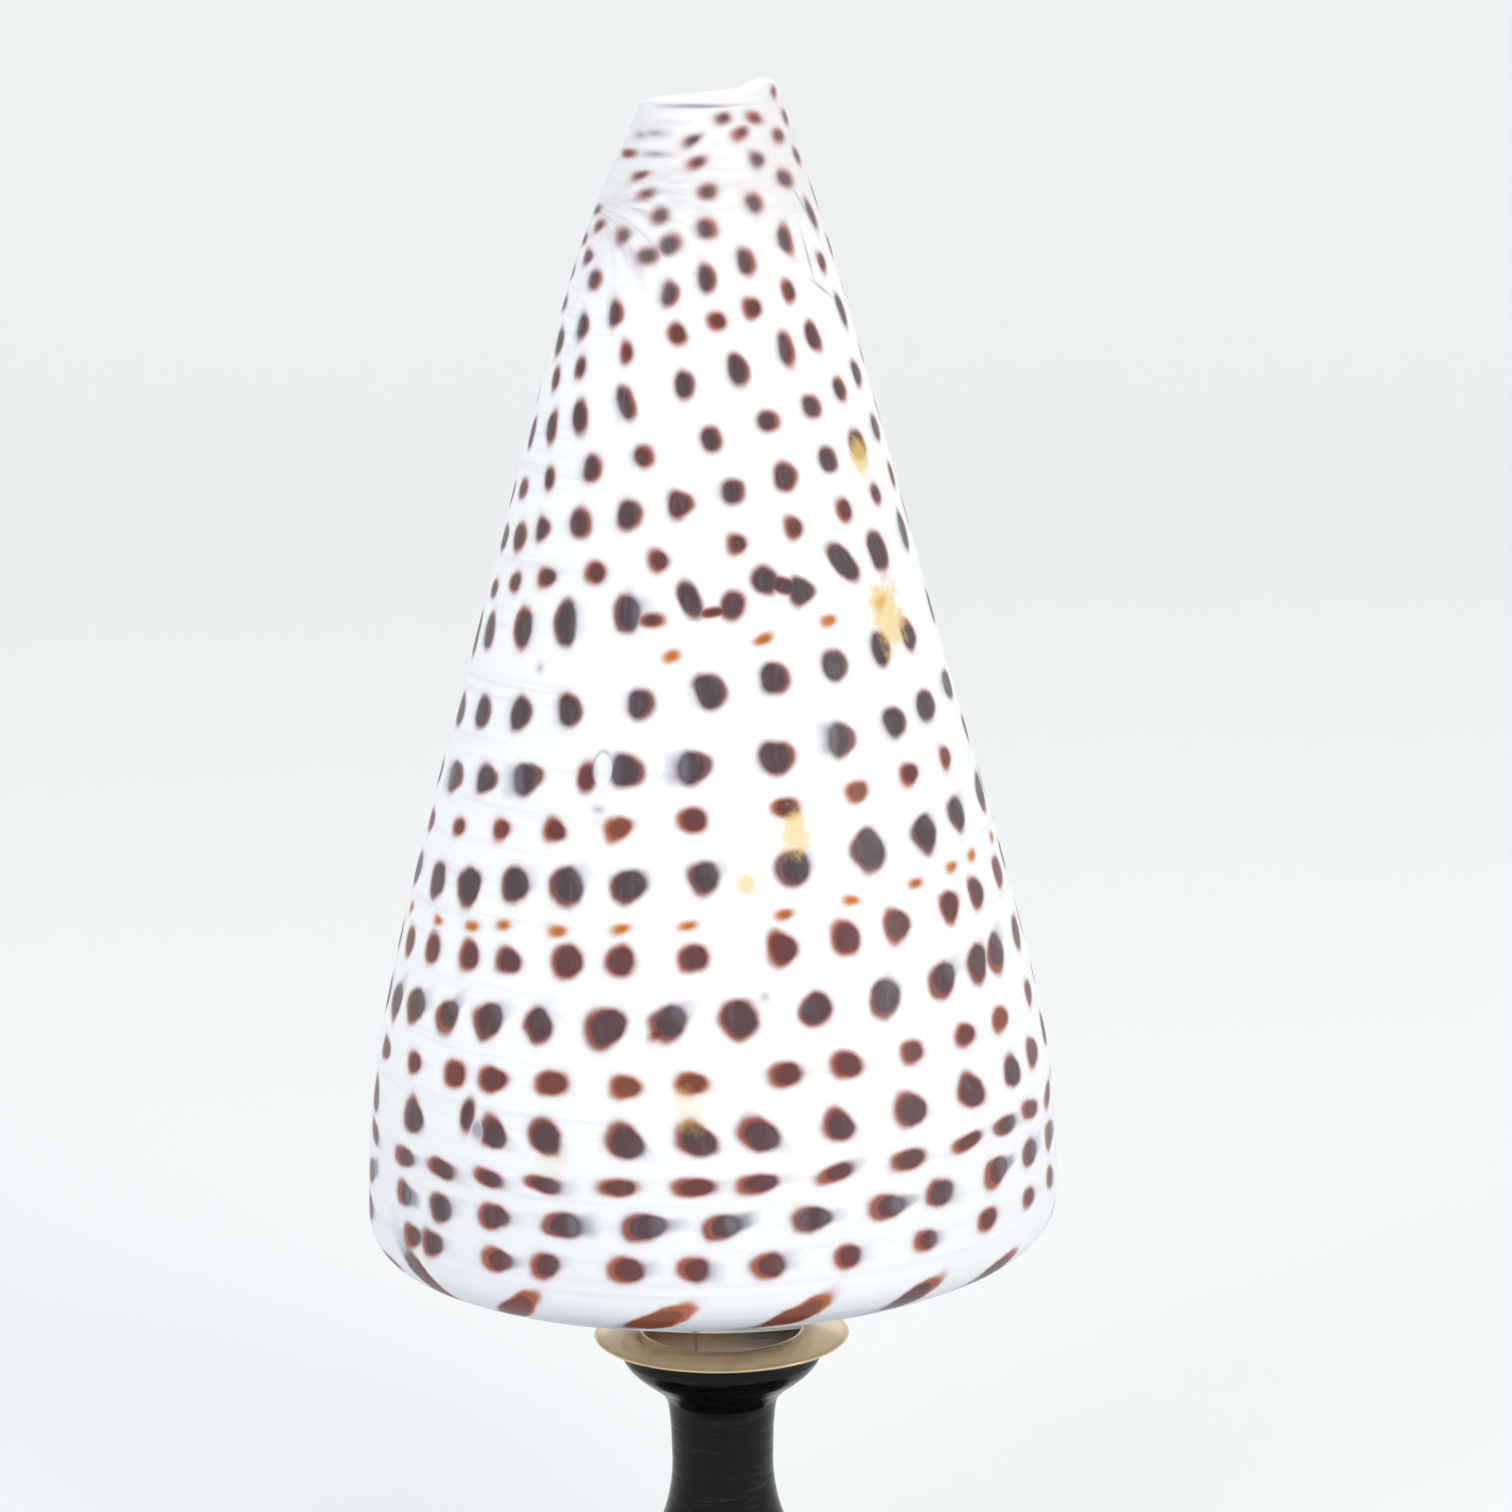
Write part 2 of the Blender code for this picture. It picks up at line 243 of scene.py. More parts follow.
class NodeGraph:
    """A material's node tree, with one short method for each kind of node that it uses."""

    def __init__(self, name: str) -> None:
        """Starts a material with its surface shader alone."""
        self.material = bpy.data.materials.new(name)
        self.material.use_nodes = True
        self.tree = self.material.node_tree
        self.shader = self.tree.nodes["Principled BSDF"]

    def node(self, kind: str, inputs: dict | None = None, **settings: object) -> bpy.types.Node:
        """Adds a node.

        Args:
            kind: the node's type.
            inputs: what to set or link at each input, by name or number.
            settings: properties of the node.

        Returns:
            The node.
        """
        made = self.tree.nodes.new(kind)
        for key, value in settings.items():
            setattr(made, key, value)
        for key, value in (inputs or {}).items():
            self.feed(made.inputs[key], value)
        return made

    def feed(self, socket: bpy.types.NodeSocket, value: Value) -> None:
        """Links a socket to another node's output, or sets its own value."""
        if isinstance(value, bpy.types.NodeSocket):
            self.tree.links.new(value, socket)
        else:
            socket.default_value = value

    def surface(self, **inputs: Value) -> None:
        """Sets or links inputs of the surface shader; a name's underscores stand for spaces."""
        for key, value in inputs.items():
            self.feed(self.shader.inputs[key.replace("_", " ")], value)

    def sum(self, operation: str, *values: Value, clamp: bool = False) -> bpy.types.NodeSocket:
        """A Math node."""
        made = self.node("ShaderNodeMath", dict(enumerate(values)), operation=operation, use_clamp=clamp)
        return made.outputs[0]

    def times(self, first: Value, second: Value, clamp: bool = False) -> bpy.types.NodeSocket:
        """The product of two numbers."""
        return self.sum("MULTIPLY", first, second, clamp=clamp)

    def vector(self, operation: str, *values: Value) -> bpy.types.NodeSocket:
        """A Vector Math node; a length comes from its second output."""
        made = self.node("ShaderNodeVectorMath", dict(enumerate(values)), operation=operation)
        return made.outputs[1 if operation == "LENGTH" else 0]

    def stretched(self, vector: Value, factors: tuple) -> bpy.types.NodeSocket:
        """A vector with each part times its own factor."""
        return self.vector("MULTIPLY", vector, factors)

    def step(
        self, value: Value, low: float, high: float, to_low: float = 0.0, to_high: float = 1.0
    ) -> bpy.types.NodeSocket:
        """A smooth step between two limits.

        Args:
            value: what is stepped.
            low: where the step starts; it may be the greater limit.
            high: where the step ends.
            to_low: result at low.
            to_high: result at high.

        Returns:
            The stepped value.
        """
        ends = {0: value, 1: low, 2: high, 3: to_low, 4: to_high}
        return self.node("ShaderNodeMapRange", ends, interpolation_type="SMOOTHSTEP").outputs[0]

    def mix(self, share: Value, first: Value, second: Value) -> bpy.types.NodeSocket:
        """Mixes two colours by a share from 0 to 1."""
        made = self.node("ShaderNodeMix", {0: share, 6: first, 7: second}, data_type="RGBA")
        return made.outputs[2]

    def blend(self, share: Value, first: Value, second: Value) -> bpy.types.NodeSocket:
        """Mixes two numbers by a share from 0 to 1."""
        return self.node("ShaderNodeMix", {0: share, 2: first, 3: second}, data_type="FLOAT").outputs[0]

    def ramp(self, value: Value, stops: tuple) -> bpy.types.NodeSocket:
        """A colour ramp.

        Args:
            value: where the ramp is read, from 0 to 1.
            stops: places and their colours, the last at the ramp's end.

        Returns:
            The colour there.
        """
        made = self.node("ShaderNodeValToRGB", {0: value})
        elements = made.color_ramp.elements
        for number, (place, colour) in enumerate(stops):
            element = elements[number] if number < 2 else elements.new(place)
            element.position = place
            element.color = colour
        return made.outputs[0]

    def noise(
        self, place: Value, scale: float, detail: float = 2.0, roughness: float = 0.5
    ) -> bpy.types.Node:
        """A noise node with scale features to a unit of its vector."""
        inputs = {"Vector": place, "Scale": scale, "Detail": detail, "Roughness": roughness}
        return self.node("ShaderNodeTexNoise", inputs)

    def grain(
        self, place: Value, scale: float, detail: float = 2.0, roughness: float = 0.5
    ) -> bpy.types.NodeSocket:
        """A noise node's value, from 0 to 1."""
        return self.noise(place, scale, detail, roughness).outputs["Fac"]

    def object_place(self) -> bpy.types.NodeSocket:
        """Object coordinates."""
        return self.node("ShaderNodeTexCoord").outputs["Object"]

    def layer(self, name: str) -> bpy.types.NodeSocket:
        """A vector layer of the mesh."""
        return self.node("ShaderNodeAttribute", attribute_name=name).outputs["Vector"]

    def parts(self, vector: Value) -> tuple:
        """The three parts of a vector."""
        return tuple(self.node("ShaderNodeSeparateXYZ", {0: vector}).outputs)

    def joined(self, x: Value, y: Value, z: Value) -> bpy.types.NodeSocket:
        """A vector of three parts."""
        return self.node("ShaderNodeCombineXYZ", {0: x, 1: y, 2: z}).outputs[0]

    def bump(self, height: Value, distance: float, strength: float) -> bpy.types.NodeSocket:
        """The normal of a bump of a height times a distance."""
        inputs = {"Height": height, "Distance": distance, "Strength": strength}
        return self.node("ShaderNodeBump", inputs).outputs[0]


# The shell's form


@dataclass(frozen=True)
class GrowthForm:
    """Radii and levels of the shell as functions of growth angle; levels from the apex."""

    apex_x: float = -2.5 * MM
    apex_y: float = 1.5 * MM
    lip_azimuth: float = math.radians(35.0)
    whorl_ratio: float = 1.3
    slope: float = math.radians(16.4)
    shoulder_round: float = 4.8 * MM
    wall_at_lip: float = 1.3 * MM
    wall: float = 2.3 * MM
    wall_turn: float = 0.12
    mouth_turns: float = 29.0 / 54.0
    deep_turn: float = 0.35
    deep_share: float = 0.85
    rim_round: float = 0.4 * MM
    wall_limit: float = 0.4
    pillar_share: float = 0.3
    pillar_dip: float = 2.5 * MM
    suture_depth: float = 0.30 * MM
    suture_fade: float = 1.0 / 9.0
    right_turn: float = -35.0 / 360.0
    left_turn: float = -215.0 / 360.0
    levels: tuple = tuple(MM * z for z in (17.9, 29.9, 47.9, 71.9, 95.9, 113.9, 125.9, 131.0))
    right_side: tuple = tuple(MM * r for r in (37.30, 36.25, 32.05, 25.30, 18.80, 13.65, 9.60, 7.90))
    left_side: tuple = tuple(MM * r for r in (33.60, 32.30, 28.30, 21.70, 15.05, 9.50, 3.80, 2.00))
    rim_turns: tuple = (-1.60, -1.00, -0.80, -0.60, -0.35, -0.22, -0.13, -0.07, 0.00)
    rim_levels: tuple = tuple(
        MM * z for z in (119.5, 122.3, 123.2, 125.3, 126.2, 126.7, 127.6, 126.8, 123.3)
    )
    relief_shares: tuple = (0.0, 0.28, 0.62, 0.88, 1.0)
    relief: tuple = (0.0, -0.10 * MM, 0.0, 0.22 * MM, 0.0)

    @property
    def apex_z(self) -> float:
        """Height of the spire's apex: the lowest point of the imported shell."""
        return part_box("cone_shell")[0][2]

    def body_radius(self, turn: np.ndarray, level: np.ndarray) -> np.ndarray:
        """Outside of the body: even growth over the last whorl, a constant ratio before it.

        Radius = right side + growth x turns from the right side, with growth such that the
        left side has its own width; before the last whorl it shrinks by the same ratio a turn.

        Args:
            turn: growth angles.
            level: levels over the apex.

        Returns:
            Distances from the coiling axis.
        """
        right = smooth_curve(level, self.levels, self.right_side)
        left = smooth_curve(level, self.levels, self.left_side)
        growth = (right - left) / (self.right_turn - self.left_turn)
        at_lip = right - growth * self.right_turn
        before = np.maximum(at_lip - growth, self.pillar_share * at_lip)
        last = right + growth * (turn - self.right_turn)
        joining = before + (left - before) * (turn + 1.0) / (self.left_turn + 1.0)
        older = before * (at_lip / before) ** (turn + 1.0)
        return np.where(turn >= self.left_turn, last, np.where(turn >= -1.0, joining, older))

    def corner_radius(self, turn: np.ndarray) -> np.ndarray:
        """Where the lines of the ramp and the body would meet at the shoulder."""
        widest = np.full(np.shape(turn), self.levels[0])
        start = self.body_radius(np.full(np.shape(turn), -1.0), widest)
        older = start * self.whorl_ratio ** (np.minimum(turn, -1.0) + 1.0)
        return np.where(turn >= -1.0, self.body_radius(turn, widest), older)

    def bend(self, turn: np.ndarray) -> np.ndarray:
        """Radius of the shoulder's rounding."""
        scale = self.corner_radius(turn) / self.corner_radius(np.array(-1.0))
        return self.shoulder_round * np.minimum(1.0, scale)

    def shoulder(self, turn: np.ndarray, count: int) -> tuple[np.ndarray, np.ndarray]:
        """The shoulder's rounding: an arc that touches the ramp and the upright side.

        Args:
            turn: growth angles.
            count: number of steps round the arc.

        Returns:
            Radii and levels, with the arc along the last axis.
        """
        corner = self.corner_radius(turn)[..., None]
        bend = self.bend(turn)[..., None]
        reach = bend * math.tan((0.5 * math.pi - self.slope) / 2.0)
        angle = (self.slope - 0.5 * math.pi) * (1.0 - np.arange(count + 1) / count)
        radius = corner - bend + bend * np.cos(angle)
        level = corner * math.tan(self.slope) + reach + bend * np.sin(angle)
        return radius, level

    def shoulder_end(self, turn: np.ndarray) -> tuple[np.ndarray, np.ndarray]:
        """Radius and level where the shoulder becomes the body."""
        radius, level = self.shoulder(turn, 1)
        return radius[..., -1], level[..., -1]

    def rim(self, turn: np.ndarray) -> np.ndarray:
        """Level of the front end's rim."""
        return smooth_curve(turn, self.rim_turns, self.rim_levels)

    def side_radius(self, turn: np.ndarray, level: np.ndarray) -> np.ndarray:
        """Outside of the body; it curves in from the shoulder by a share squared.

        Args:
            turn: growth angles.
            level: levels over the apex, from the shoulder's end up.

        Returns:
            Distances from the coiling axis.
        """
        start_r, start_h = self.shoulder_end(turn)
        end = self.levels[1]
        share = (level - start_h) / (end - start_h)
        drop = start_r - self.body_radius(turn, np.full(np.shape(turn), end))
        return np.where(level < end, start_r - drop * share * share, self.body_radius(turn, level))

    def wall_radius(self, turn: np.ndarray, level: np.ndarray) -> np.ndarray:
        """Inner face of the outer wall: thin at the lip, closing in at the deep end.

        Radius = outside - wall - (hollow - wall) x a smooth step towards the deep end.

        Args:
            turn: growth angles within the mouth.
            level: levels over the apex.

        Returns:
            Distances from the coiling axis.
        """
        outside = self.body_radius(turn, level)
        hollow = outside - self.body_radius(turn - 1.0, level)
        thick = self.wall_at_lip + (self.wall - self.wall_at_lip) * np.minimum(-turn / self.wall_turn, 1.0)
        thick = np.minimum(thick, self.wall_limit * hollow)
        deep = np.maximum(-turn - self.deep_turn, 0.0) / (self.mouth_turns - self.deep_turn)
        closing = self.deep_share * deep * deep * (3.0 - 2.0 * deep)
        return outside - thick - (hollow - thick) * closing

    def place(self, turn: np.ndarray, radius: np.ndarray, level: np.ndarray) -> np.ndarray:
        """Puts places on the shell in the frame.

        x = apex_x + r cos a and y = apex_y + r sin a, with a = lip azimuth + turn; z = apex_z + level.

        Args:
            turn: growth angles.
            radius: distances from the coiling axis.
            level: levels over the apex.

        Returns:
            Places, with x, y and z along the last axis.
        """
        angle = self.lip_azimuth + TURN * turn
        x = self.apex_x + radius * np.cos(angle)
        y = self.apex_y + radius * np.sin(angle)
        return np.stack([x, y, np.broadcast_to(self.apex_z + level, x.shape)], -1)

    def turn_at(self, azimuth: np.ndarray) -> np.ndarray:
        """Growth angle on the last whorl at an azimuth in degrees."""
        return (np.asarray(azimuth, float) - math.degrees(self.lip_azimuth)) / 360.0


# The shell's spots


@dataclass(frozen=True)
class PhotoCamera:
    """The photograph's point of view."""

    lens: float = 108.1
    sensor: float = 36.0
    x: float = 4.1 * MM
    y: float = -452.0 * MM
    z: float = 185.0 * MM
    pitch: float = 10.5
    roll: float = -0.5
    photo_pixels: float = 1512.0

    def matrix(self) -> Matrix:
        """The camera's place and turn: rolled, then raised to its pitch, then moved."""
        roll = Matrix.Rotation(math.radians(self.roll), 4, "Z")
        look = Matrix.Rotation(math.radians(90.0 - self.pitch), 4, "X")
        return Matrix.Translation((self.x, self.y, self.z)) @ look @ roll

    def pixels(self, points: np.ndarray) -> np.ndarray:
        """Where points of the frame fall in the photograph, in pixels across and down.

        With a point x, y, z in the camera's own axes and s = width x lens / sensor:
        across = half the width + s x / -z, down = half the width - s y / -z.

        Args:
            points: places, with x, y and z along the last axis.

        Returns:
            Pixels across and down along the last axis.
        """
        inward = np.array(self.matrix().inverted())
        seen = points @ inward[:3, :3].T + inward[:3, 3]
        scale = self.photo_pixels * self.lens / self.sensor
        return 0.5 * self.photo_pixels + scale * seen[..., :2] * (1.0, -1.0) / -seen[..., 2:]

    def build(self) -> None:
        """Makes the camera and hands the view to it."""
        data = bpy.data.cameras.new("photo_camera")
        data.lens = self.lens
        data.sensor_width = self.sensor
        data.clip_start = 0.01
        data.clip_end = 20.0
        camera = bpy.data.objects.new("photo_camera", data)
        camera.matrix_world = self.matrix()
        bpy.context.scene.collection.objects.link(camera)
        bpy.context.scene.camera = camera


class Tone(Enum):
    """How dark a spot's pigment is, from thin orange to charcoal."""

    ORANGE = 0.0
    RUSSET = 0.3
    MAROON = 0.45
    DUSK = 0.62
    CHARCOAL = 0.78
    MIST = 1.0


class Mark(Enum):
    """What a mark in the glaze is."""

    STAIN = 0.0
    CHIP = 1.0


@dataclass(frozen=True)
class SpotRow:
    """A row of spots that climbs evenly along the coil.

    Sizes are in millimetres, angles in degrees. level is where the row crosses the front.
    columns are the pixels across the photograph, read off it, where its front spots lie,
    and pitch is their spacing round the rest, their own mean where it is 0. lean turns a
    spot anticlockwise, taper narrows its right end, and tail draws a grey smear to its
    right, or to its left below 0. A sparse row is thinned out where it isn't seen.
    """

    level: float
    columns: tuple
    width: float
    height: float
    tone: Tone
    lean: float = 0.0
    taper: float = 0.1
    tail: float = 0.1
    pitch: float = 0.0
    sparse: bool = False


@dataclass(frozen=True)
class LooseSpot:
    """A spot or a bridge of pigment of its own, at a pixel read off the photograph.

    Sizes are in millimetres; lean, taper and tail are as in a row.
    """

    across: float
    down: float
    width: float
    height: float
    tone: Tone
    lean: float = 0.0
    taper: float = 0.0
    tail: float = 0.0


@dataclass(frozen=True)
class GlazeMark:
    """A stain or a healed chip at a pixel read off the photograph, in millimetres."""

    across: float
    down: float
    width: float
    height: float
    kind: Mark
    strength: float = 1.0


ROWS = (
    SpotRow(
        16.4,
        (412, 432, 497, 545, 625, 693, 768, 848, 925, 988, 1029),
        3.3, 2.4, Tone.MAROON, tail=0.6,
    ),
    SpotRow(
        20.6,
        (404, 440, 493, 560, 645, 722, 812, 888, 940, 996, 1030),
        3.9, 2.6, Tone.DUSK, tail=1.1, taper=0.15,
    ),
    SpotRow(
        24.5,
        (404, 441, 488, 542, 617, 693, 758, 835, 908, 967, 1005, 1030),
        4.2, 1.8, Tone.MAROON, tail=0.4,
    ),
    SpotRow(
        29.0,
        (413, 492, 545, 625, 697, 760, 840, 912, 972, 1013, 1033),
        3.9, 3.1, Tone.DUSK, lean=-24.0, taper=0.25, tail=0.2,
    ),
    SpotRow(
        34.2,
        (414, 454, 493, 550, 626, 693, 785, 848, 912, 965, 1000),
        3.3, 2.3, Tone.RUSSET, taper=0.15,
    ),
    SpotRow(
        39.8,
        (397, 415, 447, 488, 538, 605, 668, 740, 816, 885, 943, 978, 996, 1016),
        3.9, 3.4, Tone.DUSK, lean=32.0, tail=0.4,
    ),
    SpotRow(
        45.9,
        (410, 432, 468, 508, 567, 620, 693, 783, 845, 897, 950, 976, 998),
        3.2, 2.9, Tone.MAROON, taper=0.12,
    ),
    SpotRow(49.0, (438, 472, 503, 557, 621, 688, 784, 852, 915, 952, 972), 1.6, 0.9, Tone.ORANGE),
    SpotRow(
        53.1,
        (438, 470, 514, 567, 629, 704, 793, 868, 925, 957, 980),
        3.7, 3.45, Tone.CHARCOAL, lean=24.0, taper=0.12, tail=0.3,
    ),
    SpotRow(58.5, (459, 502, 555, 618, 691, 785, 857, 910, 945, 966), 2.6, 2.1, Tone.RUSSET, taper=0.25),
    SpotRow(
        63.5,
        (456, 487, 528, 628, 695, 777, 842, 895, 927, 948),
        3.3, 2.9, Tone.CHARCOAL, taper=0.2, tail=-0.6,
    ),
    SpotRow(
        70.2,
        (461, 483, 522, 570, 641, 712, 775, 835, 881, 909, 933),
        2.9, 3.05, Tone.CHARCOAL, lean=-8.0, tail=-0.3,
    ),
    SpotRow(74.2, (671, 763, 829, 881), 1.6, 0.9, Tone.ORANGE, lean=10.0, pitch=17.0, sparse=True),
    SpotRow(78.5, (490, 878, 903), 2.4, 3.8, Tone.CHARCOAL, lean=4.0, tail=-0.5, pitch=15.0),
    SpotRow(83.4, (515, 546, 595, 658, 737, 794, 844, 875), 2.1, 2.0, Tone.MAROON),
    SpotRow(88.2, (520, 543, 580, 630, 681, 733, 786, 828, 857), 2.4, 2.6, Tone.DUSK, tail=-0.3),
    SpotRow(93.5, (524, 550, 592, 645, 712, 769, 812, 840, 857), 2.1, 2.2, Tone.DUSK, tail=-0.3),
    SpotRow(99.1, (532, 552, 580, 627, 686, 738, 787, 813), 1.9, 3.2, Tone.DUSK, tail=-0.4),
    SpotRow(104.2, (556, 580, 627, 677, 717, 752, 788, 822), 1.7, 2.0, Tone.MAROON),
    SpotRow(108.4, (560, 583, 617, 670, 708, 747, 785, 811), 1.8, 2.6, Tone.DUSK, tail=-0.5),
    SpotRow(113.0, (595, 648, 670, 707, 755, 785), 1.9, 1.7, Tone.DUSK, pitch=22.0, tail=-0.4),
    SpotRow(116.3, (588, 623, 660, 707, 757, 778), 1.8, 1.35, Tone.DUSK, pitch=22.0),
    SpotRow(119.3, (600, 645, 697, 740, 755), 1.9, 1.0, Tone.MAROON, pitch=22.0),
    SpotRow(121.7, (597, 640, 692, 723), 1.9, 0.85, Tone.DUSK, pitch=22.0),
)
# Levels of the rows that cross only the back of the front end, which rises over the rest
BACK_LEVELS = (125.5, 129.0, 132.5, 136.5, 140.5, 144.5)
# Pixels across the photograph, read off it, of the blotches on the shoulder
SHOULDER_COLUMNS = (425, 510, 655, 800, 920, 1003)

LOOSE_SPOTS = (
    LooseSpot(467, 1116, 1.8, 3.3, Tone.DUSK, lean=-6.0),
    LooseSpot(478, 1130, 2.0, 1.7, Tone.MIST, lean=-20.0),
    LooseSpot(662, 1030, 2.8, 1.5, Tone.RUSSET, lean=35.0),
    LooseSpot(587, 777, 2.0, 3.0, Tone.MAROON),
    LooseSpot(522, 628, 2.8, 4.0, Tone.DUSK, lean=4.0, tail=0.3),
    LooseSpot(565, 622, 2.7, 4.2, Tone.CHARCOAL, lean=4.0, tail=0.4),
    LooseSpot(627, 614, 2.8, 3.9, Tone.CHARCOAL, lean=4.0, tail=0.6),
    LooseSpot(652, 621, 2.3, 1.3, Tone.MAROON),
    LooseSpot(690, 600, 2.1, 3.6, Tone.CHARCOAL, lean=20.0),
    LooseSpot(733, 606, 2.2, 2.7, Tone.DUSK, lean=-28.0),
    LooseSpot(712, 613, 3.2, 0.9, Tone.MAROON, lean=8.0),
    LooseSpot(765, 580, 2.8, 2.6, Tone.CHARCOAL, lean=-20.0),
    LooseSpot(802, 591, 2.8, 2.6, Tone.CHARCOAL, taper=0.3),
    LooseSpot(784, 586, 3.2, 1.6, Tone.DUSK, lean=-20.0),
    LooseSpot(843, 563, 2.5, 4.6, Tone.CHARCOAL, lean=42.0),
    LooseSpot(697, 107, 6.5, 0.4, Tone.MIST),
    LooseSpot(628, 154, 2.8, 0.8, Tone.RUSSET),
    LooseSpot(655, 154, 2.6, 0.6, Tone.MIST),
    LooseSpot(655, 134, 2.0, 0.6, Tone.MIST),
    LooseSpot(641, 135, 1.8, 0.6, Tone.MIST),
    # The three thin grey lines below paint the shade of a small growth step on the body; the step is not in
    # the mesh
    LooseSpot(803, 206, 0.25, 5.0, Tone.MIST, lean=24.0),
    LooseSpot(808, 257, 0.25, 2.6, Tone.MIST),
    LooseSpot(821, 288, 0.25, 2.2, Tone.MIST, lean=58.0),
    LooseSpot(765, 997, 0.35, 0.35, Tone.MIST),
    LooseSpot(540, 668, 0.35, 0.35, Tone.MIST),
    LooseSpot(598, 810, 0.6, 0.35, Tone.MIST),
)

GLAZE_MARKS = (
    GlazeMark(860, 458, 3.4, 4.4, Mark.STAIN, 0.8),
    GlazeMark(887, 613, 5.8, 7.4, Mark.STAIN, 0.8),
    GlazeMark(795, 835, 3.6, 4.8, Mark.STAIN, 0.75),
    GlazeMark(745, 885, 2.6, 2.0, Mark.STAIN, 0.7),
    GlazeMark(690, 1110, 4.6, 4.4, Mark.STAIN, 0.3),
    GlazeMark(550, 1165, 3.6, 3.0, Mark.STAIN, 0.16),
    GlazeMark(800, 1190, 2.6, 5.0, Mark.STAIN, 0.14),
    GlazeMark(603, 768, 2.0, 3.2, Mark.CHIP),
)


@dataclass
class SpotField:
    """All the spots of the shell, and each face's two nearest ones."""

    form: GrowthForm
    camera: PhotoCamera
    seed: int = 4
    front: float = -90.0
    facing: tuple = (-178.0, -2.0)
    facing_levels: tuple = (12.0, 127.0)
    fine: float = 0.2
    level_slope: float = 0.0436
    first_slope: float = 1.0
    first_level: float = 16.4
    oldest: float = -1.56
    right_edge: float = -12.0
    left_edge: float = -165.0
    lip_gap: float = 0.25
    pitch_stray: float = 0.09
    sparse_share: float = 0.4
    front_stray: float = 0.4
    level_stray: float = 0.22
    size_stray: float = 0.08
    lean_stray: float = 8.0
    lean_radius: float = 30.0
    taper_stray: float = 0.10
    taper_limits: tuple = (-0.2, 0.25)
    tone_stray: float = 0.07
    tone_limits: tuple = (0.24, Tone.CHARCOAL.value)
    orange_limits: tuple = (0.0, 0.1)
    tail_shares: tuple = (0.2, 1.6)
    blotch_pitch: float = 22.0
    blotch_whorls: float = 6.0
    blotch_drop: float = 3.4
    blotch_widths: tuple = (6.8, 9.0)
    blotch_heights: tuple = (2.3, 3.1)
    blotch_leans: tuple = (-40.0, 36.0)
    blotch_look: tuple = (0.15, -0.8)
    hidden_place: float = 50.0
    block: int = 4000

    def __post_init__(self) -> None:
        """Keeps a fine grid of the face toward the camera, and the pixels at which it is seen."""
        azimuth = np.arange(*self.facing, self.fine)
        level = np.arange(*self.facing_levels, self.fine)
        self.front_grid = (azimuth, level)
        self.front_pixels = self.seen(azimuth[:, None], level[None, :])

    def seen(self, azimuth: np.ndarray, level: np.ndarray) -> np.ndarray:
        """Pixels of the photograph at which places on the last whorl are seen.

        Args:
            azimuth: azimuths in degrees.
            level: levels over the apex in millimetres.

        Returns:
            Pixels across and down along the last axis.
        """
        turn = self.form.turn_at(azimuth)
        radius = self.form.side_radius(turn, level * MM)
        return self.camera.pixels(self.form.place(turn, radius, level * MM))

    def azimuths_at(self, columns: tuple, azimuth: np.ndarray, level: np.ndarray) -> np.ndarray:
        """Azimuths at which a line on the shell crosses pixel columns, between its two outlines.

        Args:
            columns: pixels across the photograph.
            azimuth: rising azimuths of the line, in degrees.
            level: levels of the line, in millimetres.

        Returns:
            An azimuth for each column, or an outline's where the column lies past it.
        """
        across = self.seen(azimuth, level)[:, 0]
        facing = slice(np.argmin(across), np.argmax(across) + 1)
        return np.interp(columns, across[facing], azimuth[facing])

    def place_at(self, across: float, down: float) -> tuple[float, float]:
        """The place on the last whorl that is seen nearest to a pixel.

        Args:
            across: the pixel's place across the photograph.
            down: its place down the photograph.

        Returns:
            Azimuth in degrees and level in millimetres.
        """
        azimuth, level = self.front_grid
        off = np.hypot(self.front_pixels[..., 0] - across, self.front_pixels[..., 1] - down)
        row, column = np.unravel_index(np.argmin(off), off.shape)
        return azimuth[row], level[column]

    def azimuths(self, row: SpotRow, rng: np.random.Generator) -> tuple[np.ndarray, np.ndarray]:
        """Spot azimuths: the row's columns in front, then an even pitch round the rest.

        Args:
            row: the row.
            rng: source of the random strays.

        Returns:
            The azimuths, and for each one how much its level and form may stray.
        """
        front = np.arange(*self.facing, self.fine)
        columns = self.azimuths_at(row.columns, front, self.row_line(row.level, front))
        pitch = row.pitch or (columns[-1] - columns[0]) / (len(columns) - 1)
        lip = math.degrees(self.form.lip_azimuth)
        after = np.arange(max(columns[-1] + pitch, self.right_edge), lip - self.lip_gap * pitch, pitch)
        before = np.arange(min(columns[0] - pitch, self.left_edge), lip + 360.0 * self.oldest, -pitch)
        hidden = np.concatenate([after, before])
        hidden = hidden + rng.normal(0.0, self.pitch_stray * pitch, len(hidden))
        if row.sparse:
            hidden = hidden[rng.uniform(0.0, 1.0, len(hidden)) > self.sparse_share]
        stray = np.concatenate([np.full(len(columns), self.front_stray), np.ones(len(hidden))])
        return np.concatenate([columns, hidden]), stray

    def row_slope(self, level: float) -> float:
        """Climb of a row in millimetres per radian; it grows with the row's level in front."""
        return self.first_slope + self.level_slope * (level - self.first_level)

    def row_line(self, level: float, azimuth: np.ndarray) -> np.ndarray:
        """Level of a row at an azimuth: level in front + slope x angle from the front."""
        return level + self.row_slope(level) * np.radians(azimuth - self.front)

